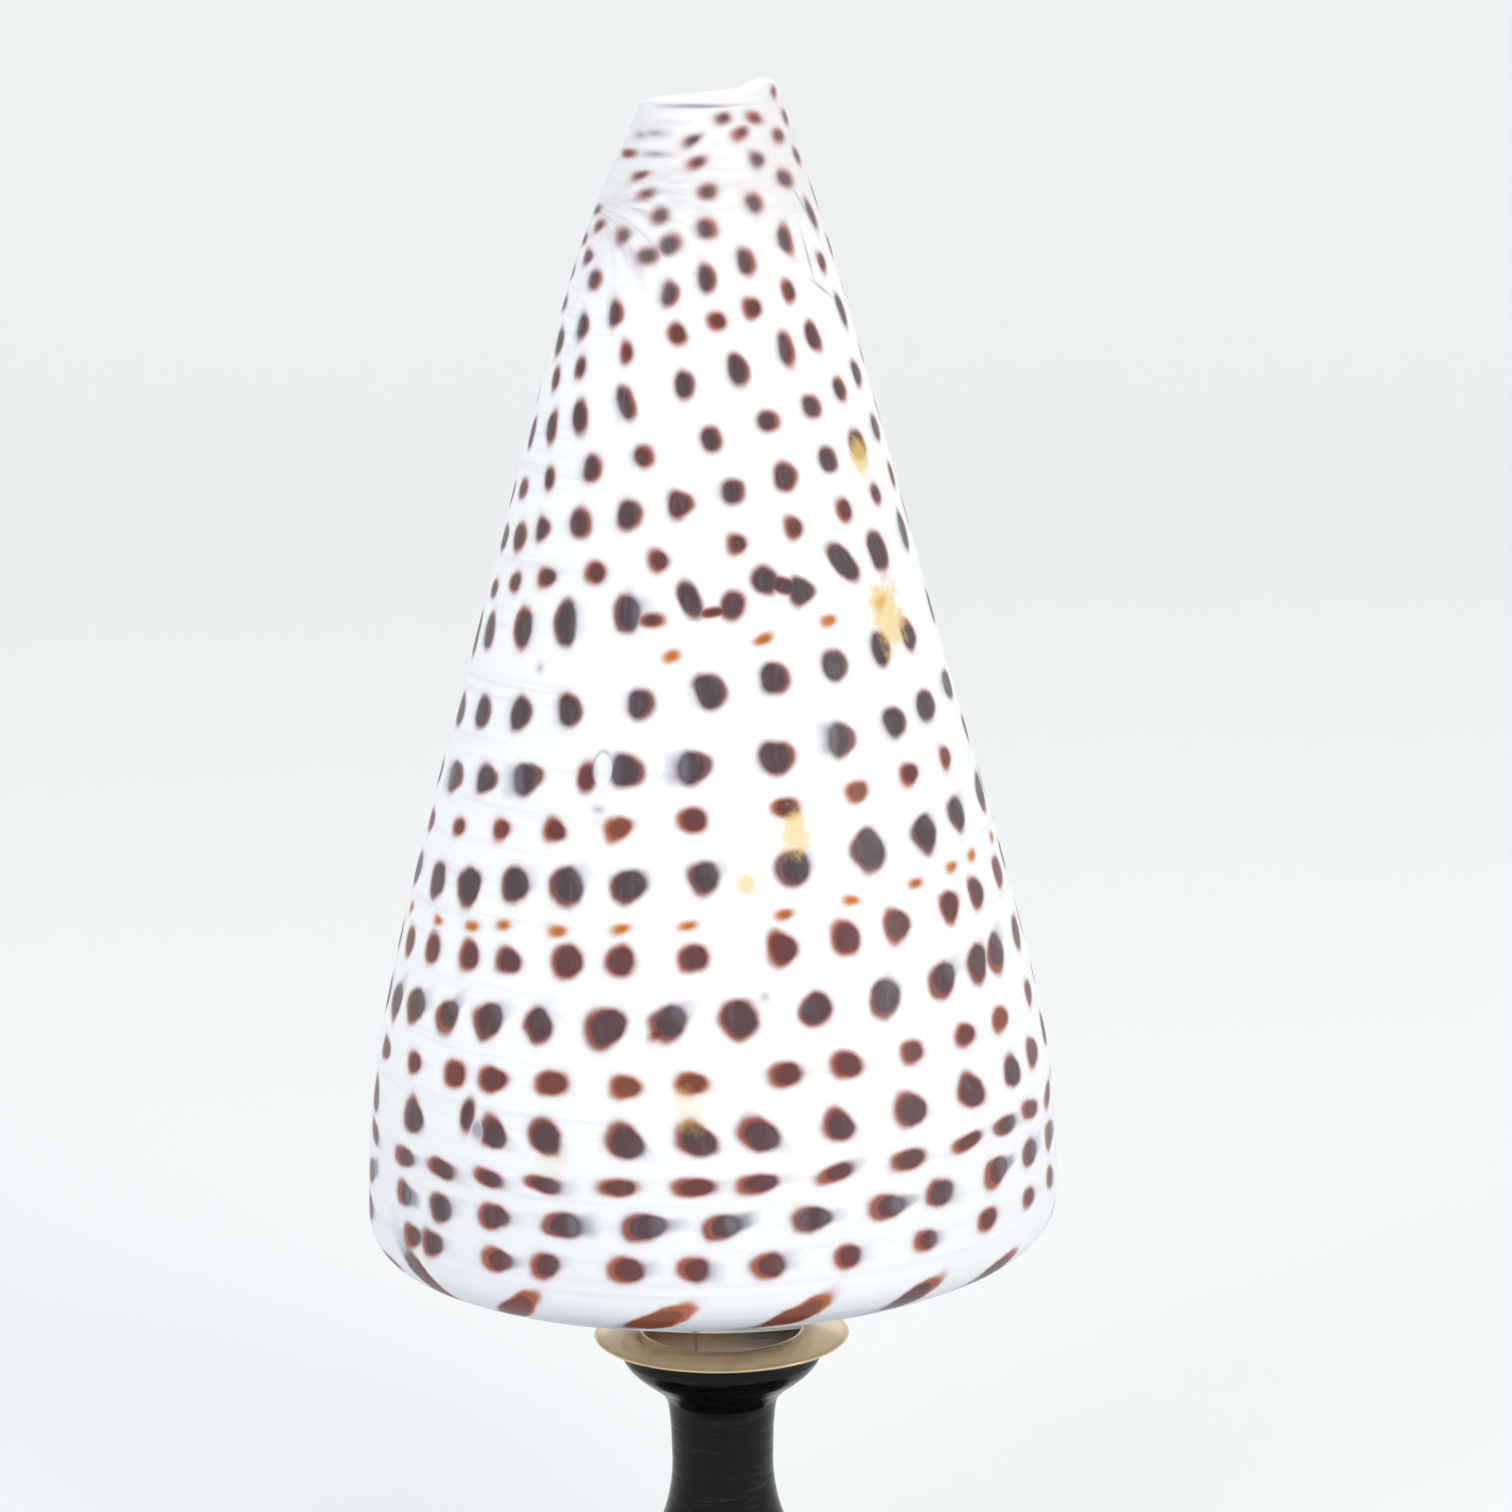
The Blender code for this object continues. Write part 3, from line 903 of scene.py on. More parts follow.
    def row_spots(self, row: SpotRow, rng: np.random.Generator) -> np.ndarray:
        """The spots of a row, each with its own small strays.

        Args:
            row: the row.
            rng: source of the random strays.

        Returns:
            One line of numbers per spot, as packed gives them.
        """
        azimuth, stray = self.azimuths(row, rng)
        count = len(azimuth)
        level = self.row_line(row.level, azimuth) + stray * rng.normal(0.0, self.level_stray, count)
        climb = math.degrees(math.atan2(self.row_slope(row.level), self.lean_radius))
        size = rng.normal(1.0, self.size_stray, (2, count))
        lean = row.lean + climb + rng.normal(0.0, self.lean_stray, count)
        taper = np.clip(row.taper + rng.normal(0.0, self.taper_stray, count), *self.taper_limits)
        limits = self.orange_limits if row.tone is Tone.ORANGE else self.tone_limits
        tone = np.clip(row.tone.value + rng.normal(0.0, self.tone_stray, count), *limits)
        tail = row.tail * rng.uniform(*self.tail_shares, count)
        width, height = row.width * size[0], row.height * size[1]
        return self.packed(azimuth, level, (width, height), lean, (taper, tone, tail), rng)

    def packed(
        self,
        azimuth: np.ndarray,
        level: np.ndarray,
        size: tuple,
        lean: np.ndarray,
        look: tuple,
        rng: np.random.Generator,
    ) -> np.ndarray:
        """Gathers the numbers of spots or marks; each argument may be one number for all.

        Args:
            azimuth: azimuths in degrees.
            level: levels in millimetres.
            size: widths and heights in millimetres.
            lean: turns anticlockwise, in degrees.
            look: tapers, tones and tails.
            rng: source of the seeds.

        Returns:
            Columns: turn, level, half width, half height, lean, taper, tone, tail, seed.
        """
        turn = self.form.turn_at(azimuth)
        halves = [0.5 * side * MM for side in size]
        columns = np.broadcast_arrays(turn, level * MM, *halves, np.radians(lean), *look, 0.0)
        made = np.stack(columns, -1).astype(float)
        made[:, 8] = rng.uniform(0.0, 1.0, len(made))
        return made

    def shoulder_spots(self, rng: np.random.Generator) -> np.ndarray:
        """Blotches on the shoulder of every whorl, which run down onto the ramp.

        Args:
            rng: source of the random strays.

        Returns:
            One line of numbers per blotch, as packed gives them.
        """
        lip = math.degrees(self.form.lip_azimuth)
        front = np.arange(*self.facing, self.fine)
        front_level = self.form.shoulder_end(self.form.turn_at(front))[1] / MM
        beat = self.azimuths_at(SHOULDER_COLUMNS, front, front_level)
        pitch = self.blotch_pitch
        after = np.arange(beat[-1] + pitch, lip - 5.0, pitch)
        before = np.arange(beat[0] - pitch, lip - 360.0 * self.blotch_whorls, -pitch)[::-1]
        azimuth = np.concatenate([before + rng.normal(0.0, 3.0, len(before)), beat, after])
        end_r, end_h = self.form.shoulder_end(self.form.turn_at(azimuth))
        scale = np.minimum(end_r / self.form.corner_radius(np.array(-0.5)), 1.0)
        count = len(azimuth)
        level = end_h / MM - self.blotch_drop * scale + rng.normal(0.0, 0.3, count)
        width = scale * rng.uniform(*self.blotch_widths, count)
        height = scale * rng.uniform(*self.blotch_heights, count)
        tone = np.clip(rng.normal(0.38, 0.10, count), 0.24, 0.6)
        lean = np.where(azimuth == beat[0], *self.blotch_leans) + rng.normal(0.0, 7.0, count)
        taper, tail = self.blotch_look
        return self.packed(azimuth, level, (width, height), lean, (taper, tone, tail), rng)

    def all_spots(self) -> np.ndarray:
        """Every spot of the shell."""
        rng = np.random.default_rng(self.seed)
        last = ROWS[-1]
        back = [replace(last, level=level, columns=last.columns[:1]) for level in BACK_LEVELS]
        made = [self.row_spots(row, rng) for row in (*ROWS, *back)]
        made.append(self.shoulder_spots(rng))
        for s in LOOSE_SPOTS:
            azimuth, level = self.place_at(s.across, s.down)
            look = (s.taper, s.tone.value, s.tail)
            made.append(self.packed([azimuth], level, (s.width, s.height), s.lean, look, rng))
        return np.concatenate(made)

    def all_marks(self) -> np.ndarray:
        """Every stain and chip, with its strength and kind in place of taper and tone."""
        rng = np.random.default_rng(self.seed)
        made = []
        for m in GLAZE_MARKS:
            azimuth, level = self.place_at(m.across, m.down)
            look = (m.strength, m.kind.value, 0.0)
            made.append(self.packed([azimuth], level, (m.width, m.height), 0.0, look, rng))
        return np.concatenate(made)

    def local(self, spots: np.ndarray, turn: np.ndarray, level: np.ndarray) -> tuple[np.ndarray, np.ndarray]:
        """A place in a spot's own frame, in its half sizes.

        With s = 2 pi r (turn - turn of the spot) and h = level difference, turned by the lean:
        a = (s cos + h sin) / half width, b = (h cos - s sin) / half height.

        Args:
            spots: spots' numbers along the last axis.
            turn: growth angles of the places.
            level: their levels.

        Returns:
            The two numbers a and b, which lie within 1 of the spot's middle inside it.
        """
        radius = self.form.body_radius(np.maximum(spots[..., 0], -1.0), spots[..., 1])
        older = self.form.corner_radius(spots[..., 0])
        radius = np.where(spots[..., 0] < self.form.rim_turns[0], older, np.minimum(radius, older))
        s = TURN * radius * (turn - spots[..., 0])
        h = level - spots[..., 1]
        cosine, sine = np.cos(spots[..., 4]), np.sin(spots[..., 4])
        return (s * cosine + h * sine) / spots[..., 2], (h * cosine - s * sine) / spots[..., 3]

    def layers(self, growth: np.ndarray) -> dict:
        """Vector layers that give each face's corners their place in its two nearest spots.

        Args:
            growth: growth angle, level along the profile and paint share at the faces' corners.

        Returns:
            Layers near_place and next_place (place in the spot, its size), near_look and
            next_look (taper, tone, tail), mark_place (place in the mark, strength) and
            mark_kind.
        """
        spots = self.all_spots()
        middle = growth.mean(1)
        best = np.empty((len(middle), 2), int)
        for start in range(0, len(middle), self.block):
            rows = middle[start : start + self.block]
            a, b = self.local(spots[None], rows[:, None, 0], rows[:, None, 1])
            size = np.sqrt(spots[:, 2] * spots[:, 3])[None]
            away = (np.hypot(a, b) - 1.0) * size
            first = np.argpartition(away, 1, axis=1)[:, :2]
            order = np.argsort(np.take_along_axis(away, first, 1), axis=1)
            best[start : start + self.block] = np.take_along_axis(first, order, 1)
        made = {}
        shown = growth[..., 2] > 0.5
        for number, name in enumerate(("near", "next")):
            own = spots[best[:, number]][:, None]
            size = np.broadcast_to(np.sqrt(own[..., 2] * own[..., 3]) / MM, shown.shape)
            a, b = self.local(own, growth[..., 0], growth[..., 1])
            far = self.hidden_place
            made[name + "_place"] = np.stack([np.where(shown, a, far), np.where(shown, b, far), size], -1)
            made[name + "_look"] = np.broadcast_to(own[..., 5:8], growth.shape)
        marks = self.all_marks()
        a, b = self.local(marks[None], middle[:, None, 0], middle[:, None, 1])
        own = marks[np.argmin(np.hypot(a, b), axis=1)][:, None]
        a, b = self.local(own, growth[..., 0], growth[..., 1])
        strength = np.broadcast_to(own[..., 5], a.shape)
        made["mark_place"] = np.stack([np.where(shown, a, self.hidden_place), b, strength], -1)
        made["mark_kind"] = np.broadcast_to(own[..., 6:7], growth.shape)
        return made


# The shell


@dataclass(frozen=True)
class PorcelainFinish:
    """White glazed shell with brown and charcoal spots under the glaze."""

    form: GrowthForm
    ground: tuple = (0.865, 0.875, 0.88, 1.0)
    roughness: float = 0.36
    halo: tuple = (0.66, 0.50, 0.50, 1.0)
    smear: tuple = (0.28, 0.27, 0.34, 1.0)
    stain: tuple = (0.74, 0.50, 0.13, 1.0)
    tint: tuple = (0.52, 0.46, 0.50, 1.0)
    # Blue-grey of the painted shade over the lowest rows and the shoulder's corner
    shade: tuple = (0.56, 0.58, 0.64, 1.0)
    cloud: tuple = (0.17, 0.155, 0.19, 1.0)
    core: tuple = (
        (0.0, (0.48, 0.13, 0.02, 1.0)),
        (0.3, (0.125, 0.030, 0.027, 1.0)),
        (0.45, (0.110, 0.034, 0.034, 1.0)),
        (0.62, (0.078, 0.038, 0.041, 1.0)),
        (0.78, (0.062, 0.039, 0.045, 1.0)),
        (1.0, (0.34, 0.32, 0.38, 1.0)),
    )
    edge: tuple = (
        (0.0, (0.60, 0.20, 0.04, 1.0)),
        (0.3, (0.32, 0.080, 0.040, 1.0)),
        (0.45, (0.31, 0.080, 0.042, 1.0)),
        (0.62, (0.26, 0.072, 0.048, 1.0)),
        (0.78, (0.18, 0.066, 0.056, 1.0)),
        (1.0, (0.48, 0.47, 0.52, 1.0)),
    )
    power: float = 2.25
    wobble: float = 0.62
    fan_azimuth: float = -166.0
    fan_level: float = 115.5 * MM
    front_end_levels: tuple = (106.0 * MM, 119.0 * MM)
    # Levels over which that painted shade fades out, for the first rows and for the shoulder's corner
    first_row_levels: tuple = (42.0 * MM, 12.0 * MM)
    corner_levels: tuple = (17.0 * MM, 8.5 * MM)
    bump_height: float = 0.14 * MM

    def spot(self, g: NodeGraph, name: str, wobble: tuple) -> tuple:
        """How a point lies in one of its two nearest spots.

        depth = (1 - (|a|^p + |b / (1 - taper a)|^p)^(1/p)) size, with p a little over 2.

        Args:
            g: the material's node graph.
            name: near or next, the start of the layers' names.
            wobble: what bends the outline, along and across the spot.

        Returns:
            Depth inside the spot in millimetres, its tone, its smear, and how far the
            point lies towards the smear.
        """
        a, b, size = g.parts(g.layer(name + "_place"))
        taper, tone, tail = g.parts(g.layer(name + "_look"))
        a = g.sum("ADD", a, wobble[0])
        b = g.sum("ADD", b, wobble[1])
        narrow = g.sum("MAXIMUM", g.sum("MULTIPLY_ADD", g.times(taper, a), -1.0, 1.0), 0.35)
        b = g.sum("DIVIDE", b, narrow)
        powers = [g.sum("POWER", g.sum("ABSOLUTE", part), self.power) for part in (a, b)]
        reach = g.sum("POWER", g.sum("ADD", *powers), 1.0 / self.power)
        depth = g.times(g.sum("SUBTRACT", 1.0, reach), size)
        length = g.sum("ABSOLUTE", tail)
        side = g.times(a, g.sum("SIGN", tail))
        along = g.times(g.step(side, 0.1, 0.8), g.step(side, 2.4, 0.8))
        smear = g.times(g.times(along, g.step(g.sum("ABSOLUTE", b), 1.1, 0.3)), length)
        return depth, tone, smear, g.times(side, g.sum("MULTIPLY_ADD", length, 0.7, 0.15))

    def fan(self, g: NodeGraph, place: Value, level: Value) -> tuple:
        """Streaks that fan out from a point at the left of the front end, and where they show."""
        turn = self.form.turn_at(np.array(self.fan_azimuth))
        radius = self.form.body_radius(turn, np.array(self.fan_level))
        start = self.form.place(turn, radius, np.array(self.fan_level))
        away = g.vector("SUBTRACT", place, tuple(float(v) for v in start))
        x, y, z = g.parts(away)
        distance = g.vector("LENGTH", away)
        angle = g.sum("ARCTAN2", z, x)
        bent = g.sum("MULTIPLY_ADD", distance, 40.0, angle)
        streaks = g.grain(g.joined(g.times(bent, 6.0), g.times(distance, 160.0), 0.0), 1.0, 3.0, 0.65)
        near = g.times(g.step(distance, 19.0 * MM, 8.0 * MM), g.step(distance, 0.5 * MM, 3.0 * MM))
        aside = g.times(g.step(angle, 0.9, 0.3), g.step(angle, -1.3, -0.8, 0.25, 1.0))
        high = g.times(g.step(level, 103.0 * MM, 109.0 * MM), aside)
        return streaks, g.times(near, high)

    def marks(self, g: NodeGraph, place: Value) -> tuple:
        """Shares of the healed chip, of the painted shade in the groove round its left side, and of the
        stains.
        """
        a, b, strength = g.parts(g.layer("mark_place"))
        kind = g.parts(g.layer("mark_kind"))[0]
        reach = g.vector("LENGTH", g.joined(a, b, 0.0))
        chip = g.times(kind, g.step(reach, 1.02, 0.94))
        ring = g.times(kind, g.times(g.step(reach, 0.80, 1.0), g.step(reach, 1.25, 1.02)))
        left = g.step(g.sum("SUBTRACT", a, b), 0.6, -0.4)
        blot = g.times(g.grain(place, 700.0, 3.0, 0.6), 1.8)
        spread = g.step(g.sum("ADD", reach, blot), 2.1, 1.35)
        stained = g.times(g.times(g.sum("SUBTRACT", 1.0, kind), spread), strength)
        return chip, g.times(ring, left), stained

    def glaze(self, g: NodeGraph, place: Value, threads: Value, fan: tuple) -> tuple:
        """The glaze between the spots: faint threads, a worn front end, and painted shade that greys the
        first rows and the shoulder's corner.

        Args:
            g: the material's node graph.
            place: Object coordinates.
            threads: noise that runs in lines round the shell.
            fan: the fan's streaks and where they show.

        Returns:
            The glaze's colour, and how much the front end is worn.
        """
        turn, level, paint = g.parts(g.layer("growth"))
        patch = g.grain(place, 55.0)
        colour = g.mix(g.times(g.step(threads, 0.48, 0.72), 0.2), self.ground, self.tint)
        worn = g.times(g.step(level, *self.front_end_levels), g.step(patch, 0.3, 0.6, 0.4, 1.0))
        colour = g.mix(g.times(worn, 0.36), colour, self.tint)
        # Painted shade: the first rows and the corner by the shoulder are greyed, darkest at the bottom
        first_rows_shade = g.step(level, *self.first_row_levels, 0.0, 0.36)
        corner = g.step(level, *self.corner_levels, 0.0, 0.75)
        shade = g.times(g.sum("MAXIMUM", first_rows_shade, corner), paint)
        colour = g.mix(shade, colour, self.shade)
        streaks = g.step(fan[0], 0.40, 0.70, 0.0, 0.75)
        return g.mix(g.times(fan[1], streaks), colour, self.tint), worn

    def pigment(self, g: NodeGraph, depth: Value, tone: Value, side: Value) -> bpy.types.NodeSocket:
        """Colour inside a spot: its edge's, then its core's, clouded towards its smear.

        Args:
            g: the material's node graph.
            depth: depth inside the spot in millimetres.
            tone: the spot's tone.
            side: how far the point lies towards the smear.

        Returns:
            The colour.
        """
        mottle = g.grain(g.stretched(g.layer("growth"), (200.0, 300.0, 0.0)), 1.0)
        inside = g.step(g.sum("ADD", side, depth), 0.0, 0.55)
        colour = g.mix(inside, g.ramp(tone, self.edge), g.ramp(tone, self.core))
        cloudy = g.sum("MAXIMUM", g.step(mottle, 0.5, 0.8, 0.0, 0.35), g.step(side, 0.05, 0.6, 0.0, 0.8))
        cloudy = g.times(cloudy, g.step(depth, 0.0, 0.5, 0.3, 0.8))
        return g.mix(g.times(cloudy, g.step(tone, 0.3, 0.6)), colour, self.cloud)

    def build(self) -> bpy.types.Material:
        """Makes the material."""
        g = NodeGraph("spotted_porcelain")
        place = g.object_place()
        growth = g.layer("growth")
        wobble = g.vector("SUBTRACT", g.noise(place, 300.0).outputs["Color"], (0.5, 0.5, 0.5))
        wobble = g.parts(g.stretched(wobble, (self.wobble, self.wobble, 0.0)))
        near, other = [self.spot(g, name, wobble) for name in ("near", "next")]
        second = g.sum("GREATER_THAN", other[0], near[0])
        depth = g.sum("MAXIMUM", near[0], other[0])
        smear = g.sum("MAXIMUM", near[2], other[2])
        tone, side = [g.blend(second, near[part], other[part]) for part in (1, 3)]
        chip, groove, stained = self.marks(g, place)
        streaks, fan_share = self.fan(g, place, g.parts(growth)[1])
        threads = g.grain(g.stretched(growth, (3.0, 900.0, 0.0)), 1.0, 3.0, 0.6)
        lines = g.grain(g.stretched(growth, (160.0, 30.0, 0.0)), 1.0, 3.0, 0.6)
        colour, worn = self.glaze(g, place, threads, (streaks, fan_share))
        colour = g.mix(g.step(depth, -1.0, 0.0, 0.0, 0.5), colour, self.halo)
        colour = g.mix(g.times(smear, 0.95, clamp=True), colour, self.smear)
        faded = g.sum("MAXIMUM", g.times(fan_share, 0.7), g.times(worn, 0.5))
        mask = g.blend(faded, g.step(depth, -0.44, 0.30), g.step(depth, -0.7, 0.6, 0.0, 0.85))
        colour = g.mix(mask, colour, self.pigment(g, depth, tone, side))
        colour = g.mix(g.times(chip, 0.55), colour, self.ground)
        # Painted shade on the left side of the chip's groove, in the smear's grey
        colour = g.mix(g.times(groove, 0.5), colour, self.smear)
        colour = g.mix(g.times(stained, 0.9), colour, self.stain)
        waves = g.sum("ADD", g.times(threads, 0.6), g.times(lines, 0.5))
        waves = g.sum("ADD", waves, g.times(g.times(fan_share, streaks), 1.5))
        waves = g.sum("ADD", waves, g.times(groove, 0.8))
        g.surface(
            Base_Color=colour,
            Roughness=self.roughness,
            Specular_IOR_Level=0.4,
            Normal=g.bump(waves, self.bump_height, 0.6),
        )
        return g.material


@dataclass
class ConeShell:
    """The shell as one closed surface: spire, shoulder, body, lip, mouth and front end."""

    form: GrowthForm = field(default_factory=GrowthForm)
    steps: int = 300
    whorls: int = 6
    ramp_cells: int = 7
    shoulder_cells: int = 8
    level_cells: int = 104
    edge_cells: int = 6
    funnel_rings: int = 12
    edge_height: float = 0.75 * MM
    ramp_edge_cut: float = 0.3
    funnel_sag: float = 0.35
    corner_points: tuple = (8.0, 6.0)
    ramp_points: tuple = (2.0, 8.0)
    apex_turn: float = -9.0

    def growth_of(self, turn: np.ndarray, along: np.ndarray, paint: float) -> np.ndarray:
        """Growth angle, level along the profile and paint share, stacked for every point."""
        turn, along = np.broadcast_arrays(turn, along)
        return np.stack([turn, along, np.full(turn.shape, paint)], -1)

    def make_spire(self, mesh: GridMesh) -> None:
        """The ramps between sutures, the shoulder of the last whorl, and the apex."""
        form, n = self.form, self.steps
        first = -(1 + self.whorls) * n
        step = np.arange(first, 1)
        turn = step / n
        radius, level = form.shoulder(turn, self.shoulder_cells)
        groove = form.suture_depth * np.clip((-1.0 - turn) / form.suture_fade, 0.0, 1.0)
        suture_level = level[:, 0] + groove
        self.suture = mesh.add(form.place(turn, radius[:, 0], suture_level))
        last = slice(-n - 1, None)
        inner = mesh.add(form.place(turn[last, None], radius[last, 1:], level[last, 1:]))
        self.shoulder = np.concatenate([self.suture[last, None], inner], 1)
        end_level = level[:, -1]
        to_end = 1.0 - np.arange(self.shoulder_cells + 1) / self.shoulder_cells
        angle = (0.5 * math.pi - form.slope) * to_end
        bend = form.bend(turn)
        along = end_level[:, None] - bend[:, None] * angle[None]
        mesh.sheet(self.shoulder, self.growth_of(turn[last, None], along[last], 1.0))
        ramp_turn = turn[n:]
        start = radius[:-n, 0]
        end = radius[n:, 0]
        share = np.arange(1, self.ramp_cells) / self.ramp_cells
        stand_out = smooth_curve(share, form.relief_shares, form.relief)
        scale = (end - start) / (form.wall + form.shoulder_round)
        ramp_r = start[:, None] + (end - start)[:, None] * share
        ramp_h = ramp_r * math.tan(form.slope) - stand_out * scale[:, None]
        middle = mesh.add(form.place(ramp_turn[:, None], ramp_r, ramp_h))
        self.ramp = np.concatenate([self.suture[:-n, None], middle, self.suture[n:, None]], 1)
        across = np.concatenate([start[:, None], ramp_r, end[:, None]], 1)
        ramp_along = along[n:, :1] - (end[:, None] - across) / math.cos(form.slope)
        mesh.sheet(self.ramp, self.growth_of(ramp_turn[:, None], ramp_along, 1.0))
        apex = mesh.add(form.place(np.zeros(1), np.zeros(1), np.zeros(1)))
        loop = np.concatenate([self.suture[: n + 1], self.ramp[0, -2:0:-1], self.suture[:1]])
        fan = np.stack([np.broadcast_to(apex, loop.shape), loop], 0)
        mesh.sheet(fan, self.growth_of(np.full(fan.shape, self.apex_turn), 0.0, 0.0))

    def make_body(self, mesh: GridMesh) -> None:
        """The body's outside, over the last whorl and on into the mouth's inner wall."""
        form, n = self.form, self.steps
        self.deep = round(form.mouth_turns * n)
        step = np.arange(-n - self.deep, 1)
        turn = step[:, None] / n
        start_h = form.shoulder_end(step / n)[1][:, None]
        top = form.rim(step / n)[:, None]
        share = np.arange(self.level_cells + 1) / self.level_cells
        level = start_h + (top - start_h) * share
        radius = form.side_radius(np.broadcast_to(turn, level.shape), level)
        self.skin = mesh.add(form.place(turn, radius, level))
        self.skin[self.deep :, 0] = self.shoulder[:, -1]
        mesh.sheet(self.skin, self.growth_of(turn, level, 1.0))
        self.top_points = form.place(turn, radius, level)

    def make_mouth(self, mesh: GridMesh) -> None:
        """The outer wall's lining, the hollow's floor and its closed deep end."""
        form, n = self.form, self.steps
        step = np.arange(-self.deep, 1)
        turn = step[:, None] / n
        inner_r, floor = form.shoulder_end(step / n - 1.0)
        top = form.rim(step / n) - form.rim_round
        share = np.arange(self.level_cells + 1) / self.level_cells
        level = floor[:, None] + (top - floor)[:, None] * share
        radius = form.wall_radius(np.broadcast_to(turn, level.shape), level)
        self.lining = mesh.add(form.place(turn, radius, level))
        self.lining_points = form.place(turn, radius, level)
        mesh.sheet(self.lining, self.growth_of(turn, level, 0.0), turned_over=True)
        cross = np.arange(1, self.ramp_cells) / self.ramp_cells
        floor_r = inner_r[:, None] + (radius[:, :1] - inner_r[:, None]) * cross
        middle = mesh.add(form.place(turn, floor_r, np.broadcast_to(floor[:, None], floor_r.shape)))
        pillar = self.skin[: self.deep + 1, :1]
        self.floor = np.concatenate([pillar, middle, self.lining[:, :1]], 1)
        mesh.sheet(self.floor, self.growth_of(turn, np.zeros(self.floor.shape), 0.0), turned_over=True)
        near = self.top_points[0, 1:, None]
        far = self.lining_points[0, 1:, None]
        inside = mesh.add(near + (far - near) * cross[None, :, None])
        grid = np.concatenate([self.skin[:1, 1:].T, inside, self.lining[:1, 1:].T], 1)
        self.end_wall = np.concatenate([self.floor[:1], grid], 0)
        mesh.sheet(self.end_wall, self.growth_of(np.zeros(self.end_wall.shape), 0.0, 0.0))

    def make_edge(self, mesh: GridMesh) -> None:
        """Half-round edge from the front rim down the lip and along the last ramp.

        Between an outer point o and an inner point i: middle + (o - i)/2 cos t + n h sin t,
        with n pointing away from the wall and h half its thickness, or less on the ramp.
        """
        outer = [self.skin[self.steps :, -1], self.skin[-1, -2::-1]]
        outer += [self.shoulder[-1, -2::-1], self.ramp[-1, -2::-1]]
        inner = [self.lining[:, -1], self.lining[-1, -2::-1], self.floor[-1, -2::-1]]
        inner += [self.shoulder[0, -2::-1]]
        outer_n, inner_n = np.concatenate(outer), np.concatenate(inner)
        points = np.concatenate(mesh.points)
        o, i = points[outer_n], points[inner_n]
        rim_count = self.deep + 1
        path = np.arange(len(outer_n), dtype=float)
        before, after = self.corner_points
        corner = smooth_step(path, rim_count - before, rim_count + after)[:, None]
        lip = self.form.lip_azimuth
        forward = np.array([-math.sin(lip), math.cos(lip), 0.0])
        up = np.array([0.0, 0.0, 1.0])
        normal = up * (1.0 - corner) + forward * corner
        normal /= np.linalg.norm(normal, axis=1, keepdims=True)
        half = 0.5 * np.linalg.norm(o - i, axis=1)[:, None]
        lip_end = rim_count + self.level_cells
        before, after = self.ramp_points
        flat = smooth_step(path, lip_end - before, lip_end + after)[:, None]
        height = np.minimum(half, self.edge_height) * (1.0 - self.ramp_edge_cut * flat)
        angle = (math.pi * np.arange(1, self.edge_cells) / self.edge_cells)[None, :, None]
        middle = 0.5 * (o + i)[:, None] + 0.5 * (o - i)[:, None] * np.cos(angle)
        middle = middle + (normal * height)[:, None] * np.sin(angle)
        middle[-1] = o[-1]
        made = mesh.add(middle)
        made[-1] = outer_n[-1]
        self.edge = np.concatenate([outer_n[:, None], made, inner_n[:, None]], 1)
        mesh.sheet(self.edge, self.growth_of(np.zeros(self.edge.shape), 0.0, 0.0))

    def make_front_end(self, mesh: GridMesh) -> None:
        """Funnel from the rim down to the pillar, sagging by a share of its drop."""
        loop = [self.skin[:-self.deep, -1], self.edge[0, 1:], self.end_wall[-1, -2::-1]]
        loop_n = np.concatenate(loop)
        points = np.concatenate(mesh.points)[loop_n]
        form = self.form
        low = form.rim(np.array(form.rim_turns[0])) - form.pillar_dip
        pole = form.place(np.zeros(1), np.zeros(1), np.array([low]))[0]
        share = np.arange(1, self.funnel_rings) / self.funnel_rings
        keep = (1.0 - share)[None, :, None]
        middle = pole + (points[:, None] - pole) * keep
        drop = (points[:, None, 2] - pole[2]) * (keep[..., 0] - keep[..., 0] ** 2) * self.funnel_sag
        middle[..., 2] -= drop
        rings = mesh.add(middle)
        rings[-1] = rings[0]
        end = np.broadcast_to(mesh.add(pole[None]), (len(loop_n), 1))
        grid = np.concatenate([loop_n[:, None], rings, end], 1)
        mesh.sheet(grid, self.growth_of(np.zeros(grid.shape), 0.0, 0.0))

    def build(self) -> bpy.types.Object:
        """Makes the shell and returns its piece."""
        mesh = GridMesh()
        self.make_spire(mesh)
        self.make_body(mesh)
        self.make_mouth(mesh)
        self.make_edge(mesh)
        self.make_front_end(mesh)
        points, corners, growth = mesh.gathered()
        layers = {"growth": growth}
        layers.update(SpotField(self.form, PhotoCamera()).layers(growth))
        data = quad_mesh("spotted_cone_shell", points, corners, layers)
        return piece("spotted_cone_shell", data, PorcelainFinish(self.form).build(), "cone_shell")


# The stand


